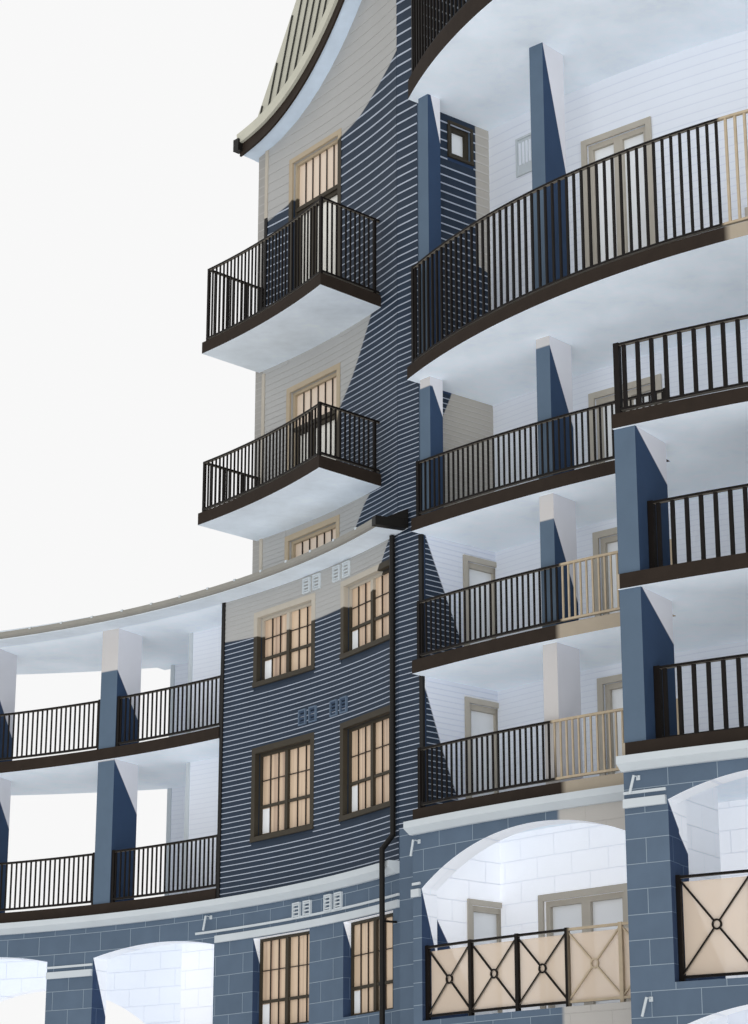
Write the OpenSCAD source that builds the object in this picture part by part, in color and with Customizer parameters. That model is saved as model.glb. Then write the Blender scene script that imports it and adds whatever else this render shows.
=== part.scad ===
// Curved apartment block: a hollow-fronted wing with a tower over it, and a bow of open loggias
// beside them, all on a podium of blockwork with arches. Millimetres, +Z up, front towards -Y.
// The origin is on the ground, in the wall where the two curved fronts meet.

/* [Plan of the wing and tower] */
// Radius of the hollow front face of wing and tower
wing_r = 21000; // [19000:100:24000]
// Angle of the front's right end, round the centre of its curve
wing_a0 = 27.3; // [26:0.1:28]
// Angle where the lap siding ends and the open gallery begins
siding_a1 = 45.4; // [45:0.1:46.5]
// Angle of the tower's left end
tower_a1 = 41.9; // [41.5:0.1:42.5]
// Angle of one gallery bay, from column to column
gallery_bay_a = 9.9; // [9:0.1:10.5]
// Number of gallery bays
gallery_bays = 3; // [2:1:4]
// Depth of the open gallery
gallery_depth = 3500; // [2800:100:4200]
// Angle of the end of the rooms behind the gallery
rooms_a1 = 57.7; // [57.2:0.1:58.4]
// Angle where the gallery's back wall steps back
step_a = 51.9; // [51:0.1:52.6]
// Depth of the gallery before that step
shallow_depth = 1350; // [1200:50:1600]
// How much shallower the gallery's open floors are at their far end
gallery_taper = 2000; // [1500:100:2200]
// Depth of the wing from front to back
wing_depth = 8500; // [7500:100:9500]

/* [Plan of the loggias and bay] */
// Radius of the bowed edge of the loggia decks
loggia_r = 25000; // [24500:100:26000]
// Angle where the loggias meet the tower
loggia_a0 = 220; // [219.6:0.1:220.4]
// Angle where the bay begins
bay_a0 = 234.7; // [234.2:0.1:235.2]
// Angle of the party wall
party_a = 250; // [249:0.1:251]
// Depth of the loggias, from deck edge to back wall
loggia_depth = 2300; // [2000:50:2600]
// How far the bay stands out from the loggias
bay_out = 2150; // [1900:50:2400]
// How far the loggia front steps forward of the wing's end, left to right and front to back
loggia_step = [250, 970]; // [200:50:1200]
// Depth of the house behind the loggia's deck edge
loggia_house_depth = 9000; // [8500:100:10000]

/* [Levels] */
// Top of the floor over the ground storey
floor_1 = 6000; // [5800:50:6200]
// Top of the wing's podium
wing_floor_2 = 9450; // [9300:50:9600]
// Top of the wing's upper floor
wing_floor_3 = 13050; // [12900:50:13200]
// Underside of the wing's eave
wing_eave_z = 15900; // [15800:50:16000]
// Tops of the two tower decks
tower_decks = [17400, 21450]; // [17300:50:21600]
// Undersides of the loggia decks, from the podium up
loggia_decks = [9780, 12760, 15710, 18960, 25400]; // [9700:10:25600]
// Top of the loggia house walls
loggia_top_z = 28900; // [28500:100:29500]
// Underside of the tower's eave at its left end
tower_eave_z = 26750; // [26600:50:27000]
// How far the tower's sweeping eave rises from left to right
eave_rise = 4200; // [4000:50:4300]
// Steepness of that sweep at its left end, against its mean
eave_start = 0.25; // [0.2:0.05:0.4]
// Top of the steep roofs
roof_top_z = 33200; // [32900:100:33600]

/* [Walls and slabs] */
// Thickness of the sided walls
wall_t = 300; // [250:10:400]
// Thickness of the podium's blockwork
block_t = 440; // [380:10:500]
// Thickness of the floors and decks
deck_t = 270; // [240:10:320]
// Thickness of the highest loggia deck
top_deck_t = 450; // [400:10:500]
// Width of the movement joint between the floors of the wing and the loggia house
movement_joint = 20; // [10:5:30]
// Thickness of a glass pane
glass_t = 30; // [20:2:40]
// Thickness of the roof shell
roof_t = 250; // [200:10:300]

/* [Windows and doors] */
// Width of the wing's windows
window_w = 1950; // [1700:50:2100]
// Angles of the two window rows, from the right
window_a = [30.7, 39.4]; // [30.2:0.1:39.8]
// Sill and head of the podium's ground windows
ground_window_z = [1900, 4400]; // [1800:50:4500]
// Sill and head of the podium's upper windows
podium_window_z = [6350, 8250]; // [6300:50:8300]
// Sill and head of the wing's lower windows
lower_window_z = [10420, 12250]; // [10300:10:12400]
// Sill and head of the wing's upper windows
upper_window_z = [13850, 15320]; // [13700:10:15400]
// Width of the tower's openings
tower_door_w = 1800; // [1700:10:2000]
// Angle of the tower's openings
tower_door_a = 36.7; // [36.2:0.1:36.9]
// Heads of the tower's openings, from the lowest
tower_heads = [16850, 20350, 26050]; // [16800:50:26200]
// Sill of the lowest light, over the wing's roof
low_light_z = 16360; // [16340:10:16400]
// Width of a loggia door
door_w = 1000; // [900:10:1100]
// Height of a loggia door
door_h = 2150; // [2000:10:2250]
// Width of a loggia window
loggia_window_w = 1700; // [1500:50:1900]
// Height of a loggia window's sill over the floor
loggia_sill_h = 700; // [600:50:900]
// Height of the glazed doors in the loggias
glazed_h = 2350; // [2250:10:2450]
// Width of the glazed doors in the common loggias
glazed_w = 1500; // [1400:50:1700]
// Width of the glazed doors behind the great arches
wide_glazed_w = 2000; // [1800:50:2200]
// Height of the glazed door in the high loggia
high_glazed_h = 4770; // [4500:10:4900]
// Width of the flank's doors
flank_door_w = 900; // [850:10:950]
// Place of the flank's doors along it, from its front edge
flank_door_x = 1650; // [1600:10:1700]
// Width, sill and head of the flank's high window
flank_window = [600, 24450, 25200]; // [500:10:25300]
// Place of that window along the flank
flank_window_x = 1150; // [1000:10:1250]
// Width of the windows in the back of the loggia house
back_window_w = 1400; // [1200:50:1500]
// Height of their sills over the floor
back_sill_h = 800; // [700:50:900]
// Sills and heads of the windows in the tower's back
tower_back_windows = [[17900, 19900], [22200, 24400]]; // [17800:100:24500]

/* [Podium] */
// Width of the gallery's arches
gallery_arch_w = 3730; // [3500:10:3750]
// Rise of the gallery's upper and ground arches
gallery_rise = [200, 700]; // [150:10:800]
// Springing of the gallery's upper arches
gallery_spring_z = 8250; // [8200:10:8280]
// Width of the wide arches behind the gallery
inner_arch_w = 6500; // [6000:50:6600]
// Springings of those arches
inner_spring_z = [6900, 3900]; // [3800:50:7000]
// Rise of those arches
inner_rise = 1200; // [1000:50:1250]
// Width of the great arch under the loggias, as a share of their radius
great_arch_share = 0.236; // [0.224:0.001:0.2368]
// Width of the bay's arches
bay_arch_w = 4000; // [3700:50:4050]
// Depth of the bay's corner pier
bay_pier_d = 800; // [700:20:940]
// Angle that the bay's corner pier takes up
bay_pier_a = 1.6; // [1.5:0.05:1.65]
// Height of the great arch's crown over its springing
great_rise = 900; // [800:10:950]
// Springing of the great upper arch
upper_spring_z = 8490; // [8400:10:8500]
// Springings of the bay's arches
bay_spring_z = [9000, 5250]; // [5200:10:9050]
// Rise of the bay's arches
bay_rise = 370; // [300:10:400]
// Springing of the ground arches
ground_spring_z = 4300; // [4200:50:4400]
// Height of the cornice
cornice_h = 240; // [220:10:300]
// How far the cornice stands out
cornice_out = 240; // [200:10:280]
// Height of the string course at the window heads
string_h = 150; // [120:10:180]
// How far the string course stands out
string_out = 60; // [50:5:80]
// Height of the thin fillet over the string course
fillet_h = 50; // [40:5:60]
// How far the fillet stands out
fillet_out = 30; // [25:5:40]
// Height of the fillet over the string course
fillet_gap = 230; // [200:10:260]
// How far the gallery's end wall stands proud of the front
end_wall_proud = 30; // [20:5:60]

/* [Balconies and railings] */
// How far the tower's balconies stand out
balcony_out = 1720; // [1500:20:1900]
// Angles of the tower balconies' two front corners
balcony_a = [27.9, 42.2]; // [27.5:0.1:42.6]
// Direction of the balconies' side edges, in degrees
balcony_side_a = 44; // [42:0.5:46]
// Height of the common railings over their deck
rail_h = 1200; // [1100:10:1300]
// Height of the railing of the tower's upper balcony
high_rail_h = 1800; // [1600:10:1850]
// Height of the high loggias' sweeping railings
sweep_rail_h = 2200; // [1600:10:2300]
// Height of the bay's railings
bay_rail_h = 1350; // [1250:10:1450]
// Heights of the railings in the great arch and the bay's arches
arch_rail_h = [1400, 1750]; // [1200:10:1800]
// Width of a railing's top and bottom bars
rail_w = 60; // [50:2:70]
// How much wider than the bars a railing's posts are
post_more = 16; // [12:2:30]
// Height of a post's head over the top bar
post_cap = 12; // [8:2:20]
// Height of a railing's top and bottom bars
rail_bar_h = 45; // [35:5:55]
// Thickness of a baluster
baluster_t = 32; // [28:2:36]
// Distance from baluster to baluster
baluster_pitch = 135; // [120:5:160]
// Gap under a railing's bottom bar
rail_gap = 70; // [50:5:100]
// Setback of a railing from the deck's edge
rail_inset = 60; // [40:5:90]
// Setback of a railing between the bay's columns
bay_rail_inset = 400; // [300:10:600]
// How much coarser the sweeping railings and the bay's railings are than the common ones
coarse = [1.4, 2]; // [1:0.1:2.2]
// Radius of the rings in the arches' railings
rail_ring_r = 90; // [80:5:120]

/* [Downpipe] */
// Radius of the downpipe
pipe_r = 55; // [45:1:65]
// Gap between the downpipe and the wall, or the cornice
pipe_wall_gap = 25; // [15:5:40]
// Height over which the downpipe steps out past the cornice
pipe_drop = 300; // [250:10:400]
// Heights of the downpipe's brackets
pipe_clips_z = [1500, 4500, 8000, 11500, 14500]; // [1000:100:15000]

/* [Columns] */
// Width across and depth of the gallery's columns
gallery_column = [500, 850]; // [400:10:1000]
// Width across and depth of the loggias' inner columns
loggia_column = [340, 700]; // [300:10:800]
// Width across and depth of the corner columns
corner_column = [300, 350]; // [260:10:400]
// Width across and depth of the bay's columns
bay_column = [420, 1150]; // [380:10:1250]
// Angle of the loggias' inner column
loggia_column_a = 228; // [227.6:0.1:228.4]
// Setback of the inner, corner and bay columns from the deck's edge
column_setback = [200, 130, 60]; // [60:10:250]

/* [Hidden] */
$fn = 256;

// Colours
SIDING = "#33435c";
BLOCK = "#5b6b82";
WHITE = "#e6eaf2";
COLUMN = "#5f7186";
RAIL = "#26211d";
FASCIA = "#35302b";
ROOF = "#c9d2c6";
GLASS = "#d9b08c";
PIPE = "#15130f";

// Small working lengths: an overlap for cuts, and how far a piece runs into its neighbour
cut = 50;
origin_in_wall = 200;

// Centres of the two curves
wing_c = [-wing_r * cos(wing_a0), -wing_r * sin(wing_a0) - origin_in_wall];
loggia_c = [
    loggia_step[0] - loggia_r * cos(loggia_a0),
    -loggia_step[1] - loggia_r * sin(loggia_a0)];

// Radii and angles worked out from the plan
gallery_a1 = siding_a1 + gallery_bays * gallery_bay_a;
gallery_r = wing_r + gallery_depth;
wing_back_r = wing_r + wing_depth;
loggia_wall_r = loggia_r - loggia_depth;
bay_r = loggia_r + bay_out;
house_back_r = loggia_r - loggia_house_depth;
great_arch_w = loggia_r * great_arch_share;
corner = [0, -origin_in_wall];
inward_a = loggia_a0 - 180;
side_line = loggia_step[0] * sin(inward_a) + (loggia_step[1] - origin_in_wall) * cos(inward_a);

// Centre and radius of the two highest loggia decks' edges, which sweep out over the bay
sweep_4 = [[15400, 5600], 16600];
sweep_5 = [[15800, 2700], 16000];

// A point on a circle in plan
function polar(c, r, a) = [c[0] + r * cos(a), c[1] + r * sin(a)];

// A direction in plan
function heading(a) = [cos(a), sin(a)];

// Where the line from p along the direction u leaves the circle of radius r round c
function line_meets(c, r, p, u) =
    let(d = p - c, b = d * u) p + u * (sqrt(b * b - d * d + r * r) - b);

// The direction of the point p as seen from c
function angle_of(c, p) = atan2(p[1] - c[1], p[0] - c[0]);

// Points along an arc
function arc_points(c, r, a0, a1, n = 24) = [for (i = [0:n]) polar(c, r, a0 + (a1 - a0) * i / n)];

function reversed(list) = [for (i = [len(list) - 1:-1:0]) list[i]];

// The point, and the angle round the wing's centre, where radius r meets the parting line
function parting_point(r) = line_meets(wing_c, r, corner, heading(inward_a));
function parting_angle(r) = angle_of(wing_c, parting_point(r));

// The same, beyond the movement joint between the floors of the two houses
function joint_angle(r) =
    angle_of(wing_c, line_meets(wing_c, r, corner + movement_joint * heading(inward_a + 90),
        heading(inward_a)));

// A piece of a ring, such as a curved wall or deck
module ring(c, r0, r1, a0, a1, z0, z1) {
    translate([c[0], c[1], z0])
        rotate([0, 0, a0])
            rotate_extrude(angle = a1 - a0)
                translate([r0, 0])
                    square([r1 - r0, z1 - z0]);
}

// A ring with a drawn section: its points are [radius, height]
module ring_section(c, a0, a1, points) {
    translate([c[0], c[1], 0])
        rotate([0, 0, a0])
            rotate_extrude(angle = a1 - a0)
                polygon(points);
}

// An upright box standing square to a curve
module radial_box(c, a, r0, r1, w, z0, z1) {
    translate([c[0], c[1], z0])
        rotate([0, 0, a])
            translate([r0, -w / 2, 0])
                cube([r1 - r0, w, z1 - z0]);
}

// The space of an arched opening, square to a curve and right through it at the opening's sides
module radial_arch(c, a, r0, r1, w, z0, spring, rise) {
    arc_r = (w * w / 4 + rise * rise) / (2 * rise);
    half_a = asin(w / 2 / arc_r);
    start = r0 * cos(asin(w / 2 / r0));
    translate([c[0], c[1], 0])
        rotate([0, 0, a])
            translate([start, 0, 0])
                rotate([90, 0, 90])
                    linear_extrude(r1 - start)
                        polygon(concat(
                            [[-w / 2, z0], [w / 2, z0]],
                            arc_points([0, spring + rise - arc_r], arc_r, 90 - half_a,
                                90 + half_a, 32)));
}

// Everything under the tower's sweeping eave, raised by h
module under_rake(h) {
    far = 2 * wing_r;
    mid_a = (wing_a0 + tower_a1) / 2;
    left_end = polar(wing_c, wing_r, tower_a1);
    run = norm(left_end - corner);
    translate([left_end[0], left_end[1], tower_eave_z + h])
        rotate([0, 0, mid_a])
            translate([-far / 2, 0, 0])
                rotate([90, 0, 90])
                    linear_extrude(far)
                        polygon(concat(
                            [[far, -far], [far, sweep_z(-far / run)]],
                            [for (i = [0:24]) [-run * i / 24, sweep_z(i / 24)]],
                            [[-far, sweep_z(far / run)], [-far, -far]]));
}

// The sweeping eave's height over its left end, at the share u of the front's width
function sweep_z(u) = eave_rise * (
    u < 0 ? eave_start * u
    : u < 1 ? eave_start * u + (1 - eave_start) * u * u
    : 1 + (2 - eave_start) * (u - 1));

// The width of a railing's bars and posts, where its balusters are s times the common ones
function bar_width(s) = rail_w + (s - 1) * baluster_t;
function post_width(s) = bar_width(s) + post_more;

// Balusters between two bars round a curve, all s times as coarse as the common ones
module curved_rail(c, r, a0, a1, z, h, s = 1) {
    w = bar_width(s);
    t = baluster_t * s;
    arc = (a1 - a0) * PI / 180 * r;
    count = floor(arc / (baluster_pitch * s));
    step = (a1 - a0) / count;
    top = z + h;
    color(RAIL) union() {
        ring(c, r - w / 2, r + w / 2, a0, a1, top - rail_bar_h, top);
        ring(c, r - w / 2, r + w / 2, a0, a1, z + rail_gap, z + rail_gap + rail_bar_h);
        for (i = [0:count - 1])
            radial_box(c, a0 + (i + 0.5) * step, r - t / 2, r + t / 2, t,
                z + rail_gap + rail_bar_h / 2, top - rail_bar_h / 2);
        for (a = [a0, a1])
            rail_post(c, a, r, z, top, s);
    }
}

// A railing's end post, down to its deck; it stands a little proud of the bars
module rail_post(c, a, r, z, top, s = 1) {
    w = post_width(s);
    radial_box(c, a, r - w / 2, r + w / 2, w, z, top + post_cap);
}

// The podium's blockwork

module window_cuts(z, t) {
    for (a = window_a)
        radial_box(wing_c, a, wing_r - cut, wing_r + t + cut, window_w, z[0], z[1]);
}

module podium_wall_wing() {
    color(BLOCK) difference() {
        ring(wing_c, wing_r, wing_r + block_t, wing_a0, siding_a1, 0, wing_floor_2 - deck_t);
        window_cuts(ground_window_z, block_t);
        window_cuts(podium_window_z, block_t);
    }
}

// Angles of the two arches under the gallery, and of the wide arch behind them
gallery_arches_a = [
    siding_a1 + gallery_bays * gallery_bay_a * 0.178,
    siding_a1 + gallery_bays * gallery_bay_a * 0.645];
inner_arch_a = gallery_arches_a[1] + 1.2;

module podium_wall_gallery() {
    top = wing_floor_2 - deck_t;
    color(BLOCK) difference() {
        union() {
            ring(wing_c, wing_r, wing_r + block_t, siding_a1, gallery_a1 - 0.5, 0, top);
            gallery_end_wall(top);
        }
        for (a = gallery_arches_a) {
            radial_arch(wing_c, a, wing_r - cut, wing_r + block_t + cut, gallery_arch_w, floor_1,
                gallery_spring_z, gallery_rise[0]);
            radial_arch(wing_c, a, wing_r - cut, wing_r + block_t + cut, gallery_arch_w, -cut,
                ground_spring_z, gallery_rise[1]);
        }
    }
}

// A wall square to the wing's curve, on the right of the angle a
module wing_cross_wall(a, r0, r1, t, z0, z1) {
    translate([wing_c[0], wing_c[1], z0])
        rotate([0, 0, a])
            translate([r0, -t, 0])
                cube([r1 - r0, t, z1 - z0]);
}

// The stepped wall behind the gallery, from the front wall of thickness front_t to the angle a1
module stepped_wall(front_t, a1, z0, z1) {
    r = wing_r + shallow_depth;
    start_a = siding_a1 - angle_width(wall_t, wing_r);
    inner_step_a = step_a - angle_width(wall_t, gallery_r);
    translate([0, 0, z0])
        linear_extrude(z1 - z0)
            polygon(concat(
                [polar(wing_c, wing_r + front_t, siding_a1)],
                arc_points(wing_c, r, siding_a1, step_a, 16),
                arc_points(wing_c, gallery_r, step_a, a1, 48),
                arc_points(wing_c, gallery_r + wall_t, a1, inner_step_a, 48),
                arc_points(wing_c, r + wall_t, inner_step_a, start_a, 16),
                [polar(wing_c, wing_r + front_t, start_a)]));
}

// The plain wall at the gallery's far end, its end a little proud of the front
module gallery_end_wall(top) {
    wing_cross_wall(gallery_a1, wing_r - end_wall_proud, gallery_r + block_t, block_t, 0, top);
}

// The podium's wall behind the gallery: it steps back, and opens in a wide arch beyond the rooms
module podium_inner_wall() {
    color(WHITE) difference() {
        stepped_wall(block_t, gallery_a1 - 1, 0, wing_floor_2 - deck_t);
        for (z = [[floor_1, inner_spring_z[0]], [-cut, inner_spring_z[1]]])
            radial_arch(wing_c, inner_arch_a, gallery_r - cut, gallery_r + wall_t + cut,
                inner_arch_w, z[0], z[1], inner_rise);
    }
}

module podium_wall_loggia() {
    mid = (loggia_a0 + bay_a0) / 2;
    top = loggia_decks[0];
    r = [loggia_r - block_t - cut, loggia_r + cut];
    color(BLOCK) difference() {
        ring(loggia_c, loggia_r - block_t, loggia_r, loggia_a0, bay_a0, 0, top);
        radial_arch(loggia_c, mid, r[0], r[1], great_arch_w, floor_1, upper_spring_z, great_rise);
        radial_arch(loggia_c, mid, r[0], r[1], great_arch_w, -cut, ground_spring_z, great_rise);
    }
}

bay_arch_a = bay_a0 + 5.95;

module podium_wall_bay() {
    top = loggia_decks[0];
    r = [bay_r - block_t - cut, bay_r + cut];
    color(BLOCK) difference() {
        union() {
            ring(loggia_c, bay_r - block_t, bay_r, bay_a0, party_a, 0, top);
            ring(loggia_c, loggia_r - block_t, bay_r, bay_a0, bay_a0 + 1, 0, top);
            ring(loggia_c, bay_r - bay_pier_d, bay_r, bay_a0, bay_a0 + bay_pier_a, 0, top);
        }
        radial_arch(loggia_c, bay_arch_a, r[0], r[1], bay_arch_w, floor_1, bay_spring_z[0],
            bay_rise);
        radial_arch(loggia_c, bay_arch_a, r[0], r[1], bay_arch_w, -cut, bay_spring_z[1],
            bay_rise);
    }
}

// Angles of the windows in the wing's back
back_windows_a = [38, 45, 52];

module podium_back_wall() {
    top = wing_floor_2 - deck_t;
    color(BLOCK) difference() {
        union() {
            ring(wing_c, wing_back_r - block_t, wing_back_r, parting_angle(wing_back_r),
                rooms_a1, 0, top);
            wing_cross_wall(rooms_a1, gallery_r + wall_t, wing_back_r - block_t / 2, block_t,
                0, top);
        }
        for (a = back_windows_a)
            for (z = [ground_window_z, podium_window_z])
                radial_box(wing_c, a, wing_back_r - block_t - cut, wing_back_r + cut,
                    window_w, z[0], z[1]);
    }
}

// Everything to the right of the parting line
module right_of_corner() {
    far = 60000;
    translate([corner[0], corner[1], -cut])
        rotate([0, 0, inward_a])
            translate([-far, -far, 0])
                cube([2 * far, far, far]);
}

// A cornice's section: a plain band on a slanting bed
function cornice_points(r, out, z0, z1) = [
    [r, z0], [r + out * 0.35, z0], [r + out, z0 + (z1 - z0) * 0.45], [r + out, z1], [r, z1]];

module podium_cornice() {
    wing_top = wing_floor_2 - deck_t;
    top = loggia_decks[0];
    color(WHITE) {
        ring_section(wing_c, wing_a0, gallery_a1,
            cornice_points(wing_r, -cornice_out, wing_top - cornice_h, wing_top));
        ring_section(loggia_c, loggia_a0, bay_a0,
            cornice_points(loggia_r, cornice_out, top - cornice_h, top));
        ring_section(loggia_c, bay_a0, party_a,
            cornice_points(bay_r, cornice_out, top - cornice_h, top));
    }
}

// A band on a curved front at the height z, with a thin fillet over it that may run on to fillet_a
module string_band(c, r, out, a0, a1, z, fillet_a) {
    for (band = [[a1, z, string_h, string_out], [fillet_a, z + fillet_gap, fillet_h, fillet_out]]) {
        edge = r + out * band[3];
        ring(c, min(r, edge), max(r, edge), a0, band[0], band[1], band[1] + band[2]);
    }
}

module string_course() {
    z = podium_window_z[1] + 20;
    half = [asin(gallery_arch_w / 2 / wing_r) + 0.05, asin(great_arch_w / 2 / loggia_r) + 0.05,
        asin(bay_arch_w / 2 / bay_r) + 0.05];
    pier = [gallery_arches_a[0] + half[0], gallery_arches_a[1] - half[0]];
    color(WHITE) {
        string_band(wing_c, wing_r, -1, wing_a0, siding_a1, z, siding_a1 + 1.8);
        string_band(wing_c, wing_r, -1, pier[0], pier[1], gallery_spring_z - 400, pier[1]);
        string_band(loggia_c, loggia_r, 1, loggia_a0, (loggia_a0 + bay_a0) / 2 - half[1],
            upper_spring_z - string_h, (loggia_a0 + bay_a0) / 2 - half[1]);
        string_band(loggia_c, bay_r, 1, bay_a0, bay_arch_a - half[2],
            bay_spring_z[0] - string_h / 2, bay_arch_a - half[2]);
    }
}

// Floors

// An enclosed floor of the wing, behind its front and the gallery's rooms
module wing_floor(z, front_t, back_t) {
    r1 = wing_back_r - back_t;
    front = wing_r + front_t;
    shallow = wing_r + shallow_depth + wall_t;
    deep = gallery_r + wall_t;
    a = [joint_angle(front), siding_a1 - angle_width(wall_t, wing_r),
        step_a - angle_width(wall_t, gallery_r), rooms_a1 - angle_width(back_t, gallery_r)];
    color(WHITE) translate([0, 0, z - deck_t])
        linear_extrude(deck_t)
            polygon(concat(
                arc_points(wing_c, front, a[0], a[1], 48),
                arc_points(wing_c, shallow, a[1], a[2], 16),
                arc_points(wing_c, deep, a[2], a[3], 16),
                arc_points(wing_c, r1, a[3], joint_angle(r1), 60)));
}

// The angle that a width w takes up at radius r, with a little to spare
function angle_width(w, r) = (w + 10) / r * 180 / PI;

// A floor of the loggia house, behind the loggias' back wall
module house_floor(z0, z1) {
    r0 = house_back_r + wall_t;
    r1 = loggia_wall_r - wall_t;
    ring(loggia_c, r0, r1, loggia_a0, party_a, z0, z1);
    corner_strip(r0, r1, z0, z1);
}

// The straight strip between the loggia house's first radius and the parting line
module corner_strip(r0, r1, z0, z1) {
    translate([loggia_c[0], loggia_c[1], z0])
        rotate([0, 0, loggia_a0])
            translate([r0, -side_line, 0])
                cube([r1 - r0, side_line, z1 - z0]);
}

module ground_floor() {
    color(WHITE) {
        wing_floor(deck_t, block_t, block_t);
        house_floor(0, deck_t);
    }
}

module podium_floor() {
    z = floor_1 - deck_t;
    color(WHITE) {
        wing_floor(floor_1, block_t, block_t);
        gallery_slab(wing_r + block_t, gallery_a1 - 1.3, 0, z);
        house_floor(z, floor_1);
        translate([0, 0, z])
            linear_extrude(deck_t)
                polygon(concat(
                    arc_points(loggia_c, loggia_r - block_t, loggia_a0, bay_a0 + 1, 48),
                    arc_points(loggia_c, bay_r - bay_pier_d, bay_a0 + 1, bay_a0 + bay_pier_a, 8),
                    arc_points(loggia_c, bay_r - block_t, bay_a0 + bay_pier_a, party_a, 48),
                    arc_points(loggia_c, loggia_wall_r, party_a, loggia_a0, 60)));
    }
}

// Wing

module wing_wall() {
    color(SIDING) difference() {
        ring(wing_c, wing_r, wing_r + wall_t, wing_a0, siding_a1, wing_floor_2 - deck_t,
            wing_eave_z);
        window_cuts(lower_window_z, wall_t);
        window_cuts(upper_window_z, wall_t);
    }
}

module wing_back_wall() {
    z0 = wing_floor_2 - deck_t;
    color(SIDING) difference() {
        union() {
            ring(wing_c, wing_back_r - wall_t, wing_back_r, parting_angle(wing_back_r),
                rooms_a1, z0, wing_eave_z);
            wing_cross_wall(rooms_a1, gallery_r + wall_t, wing_back_r - wall_t / 2, wall_t,
                z0, wing_eave_z);
        }
        for (a = back_windows_a)
            for (z = [lower_window_z, upper_window_z])
                radial_box(wing_c, a, wing_back_r - wall_t - cut, wing_back_r + cut, window_w,
                    z[0], z[1]);
    }
}

module wing_floors() {
    wing_floor(wing_floor_2, wall_t, wall_t);
    wing_floor(wing_floor_3, wall_t, wall_t);
}

module gallery_back_wall() {
    color(WHITE) difference() {
        stepped_wall(wall_t, rooms_a1, wing_floor_2, wing_eave_z);
        for (z = [wing_floor_2, wing_floor_3])
            radial_box(wing_c, gallery_door_a, gallery_r - cut, gallery_r + wall_t + cut, door_w,
                z, z + door_h);
    }
}

gallery_door_a = 54.5;

// A slab with the gallery's outline from the radius r0 to its back wall, and under_wall beyond;
// past the rooms its open back edge draws in by taper
module gallery_slab(r0, a1, under_wall, z0, taper = 0) {
    translate([0, 0, z0])
        linear_extrude(deck_t)
            polygon(concat(
                arc_points(wing_c, r0, siding_a1, a1, 60),
                gallery_back_edge(gallery_r + under_wall, a1, taper),
                arc_points(wing_c, gallery_r + under_wall, rooms_a1, step_a, 16),
                arc_points(wing_c, wing_r + shallow_depth + under_wall, step_a, siding_a1, 12)));
}

function gallery_back_edge(r, a1, taper) = [
    for (i = [0:31]) polar(wing_c, r - taper * (32 - i) / 32, a1 + (rooms_a1 - a1) * i / 32)];

// A gallery deck; the lower one also carries the back wall
module gallery_deck(z, under_wall, taper) {
    color(FASCIA) gallery_slab(wing_r - string_out, gallery_a1, under_wall, z - deck_t, taper);
}

function gallery_column_a(i) =
    siding_a1 + (i + 1) * gallery_bay_a - (i == gallery_bays - 1 ? 0.8 : 0);

module gallery_columns() {
    color(COLUMN) for (i = [0:gallery_bays - 1])
        for (z = [[wing_floor_2, wing_floor_3 - deck_t], [wing_floor_3, wing_eave_z]])
            radial_box(wing_c, gallery_column_a(i), wing_r, wing_r + gallery_column[1],
                gallery_column[0], z[0], z[1]);
}

// One storey of gallery railing, a panel in each bay
module gallery_rail(z) {
    half = gallery_column[0] / 2 / wing_r * 180 / PI;
    post = post_width(1) / 2 / wing_r * 180 / PI;
    for (i = [0:gallery_bays - 1]) {
        a0 = i == 0 ? siding_a1 : gallery_column_a(i - 1) + half;
        a1 = gallery_column_a(i) - half;
        curved_rail(wing_c, wing_r + rail_inset, a0 + post, a1 - post, z, rail_h);
    }
}

module wing_eave() {
    color(WHITE) ring_section(wing_c, wing_a0 - eave_run_on, gallery_a1 + 0.6, [
        [wing_r - wing_eave_out, wing_eave_z], [wing_r, wing_eave_z],
        [wing_r, wing_eave_z + wing_eave_t[1]],
        [wing_r - wing_eave_out, wing_eave_z + wing_eave_t[0]]]);
}

module wing_gutter() {
    r = wing_r - wing_eave_out;
    z = wing_eave_z;
    lip = r - gutter_w;
    top = z + wing_eave_t[0] + 30;
    color(ROOF) ring_section(wing_c, wing_a0 - eave_run_on, gallery_a1 + 0.6, [
        [r, z + 20], [lip + 40, z + 20], [lip, z + 60], [lip, top], [lip + 20, top],
        [lip + 20, z + 70], [lip + 50, z + 40], [r, z + 40]]);
}

// The wing's low roof: two slopes over the rooms, and one over the gallery's open end
module wing_roof() {
    back = wing_back_r + back_eave_out;
    inner = gallery_r + wall_t;
    z = wing_eave_z;
    color(ROOF) {
        ring_section(wing_c, tower_a1 + 0.9, rooms_a1 + 1, [
            [wing_r, z], [inner, z], [inner, z + 100],
            [wing_back_r - wall_t, z + 100], [wing_back_r - wall_t, z], [back, z],
            [back, z + roof_t], [inner + 300, z + wing_ridge_h], [wing_r, z + wing_eave_t[1]]]);
        translate([0, 0, z])
            linear_extrude(roof_t)
                polygon(concat(
                    arc_points(wing_c, wing_r, rooms_a1 + 1, gallery_a1 + 0.6, 48),
                    [for (i = [0:32]) polar(wing_c, gallery_r - gallery_taper * (32 - i) / 32,
                        gallery_a1 + 0.6 + (rooms_a1 + 0.4 - gallery_a1) * i / 32)]));
    }
}

wing_eave_out = 600;
wing_eave_t = [120, 420];
eave_run_on = 1.2;
gutter_w = 130;
back_eave_out = 500;
wing_ridge_h = 1500;

// Tower

module tower_wall() {
    color(SIDING) difference() {
        intersection() {
            ring(wing_c, wing_r, wing_r + wall_t, wing_a0, tower_a1, wing_eave_z, roof_top_z);
            under_rake(0);
        }
        radial_box(wing_c, tower_door_a, wing_r - cut, wing_r + wall_t + cut, tower_door_w,
            low_light_z, tower_heads[0]);
        for (i = [0, 1])
            radial_box(wing_c, tower_door_a, wing_r - cut, wing_r + wall_t + cut, tower_door_w,
                tower_decks[i], tower_heads[i + 1]);
    }
}

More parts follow.
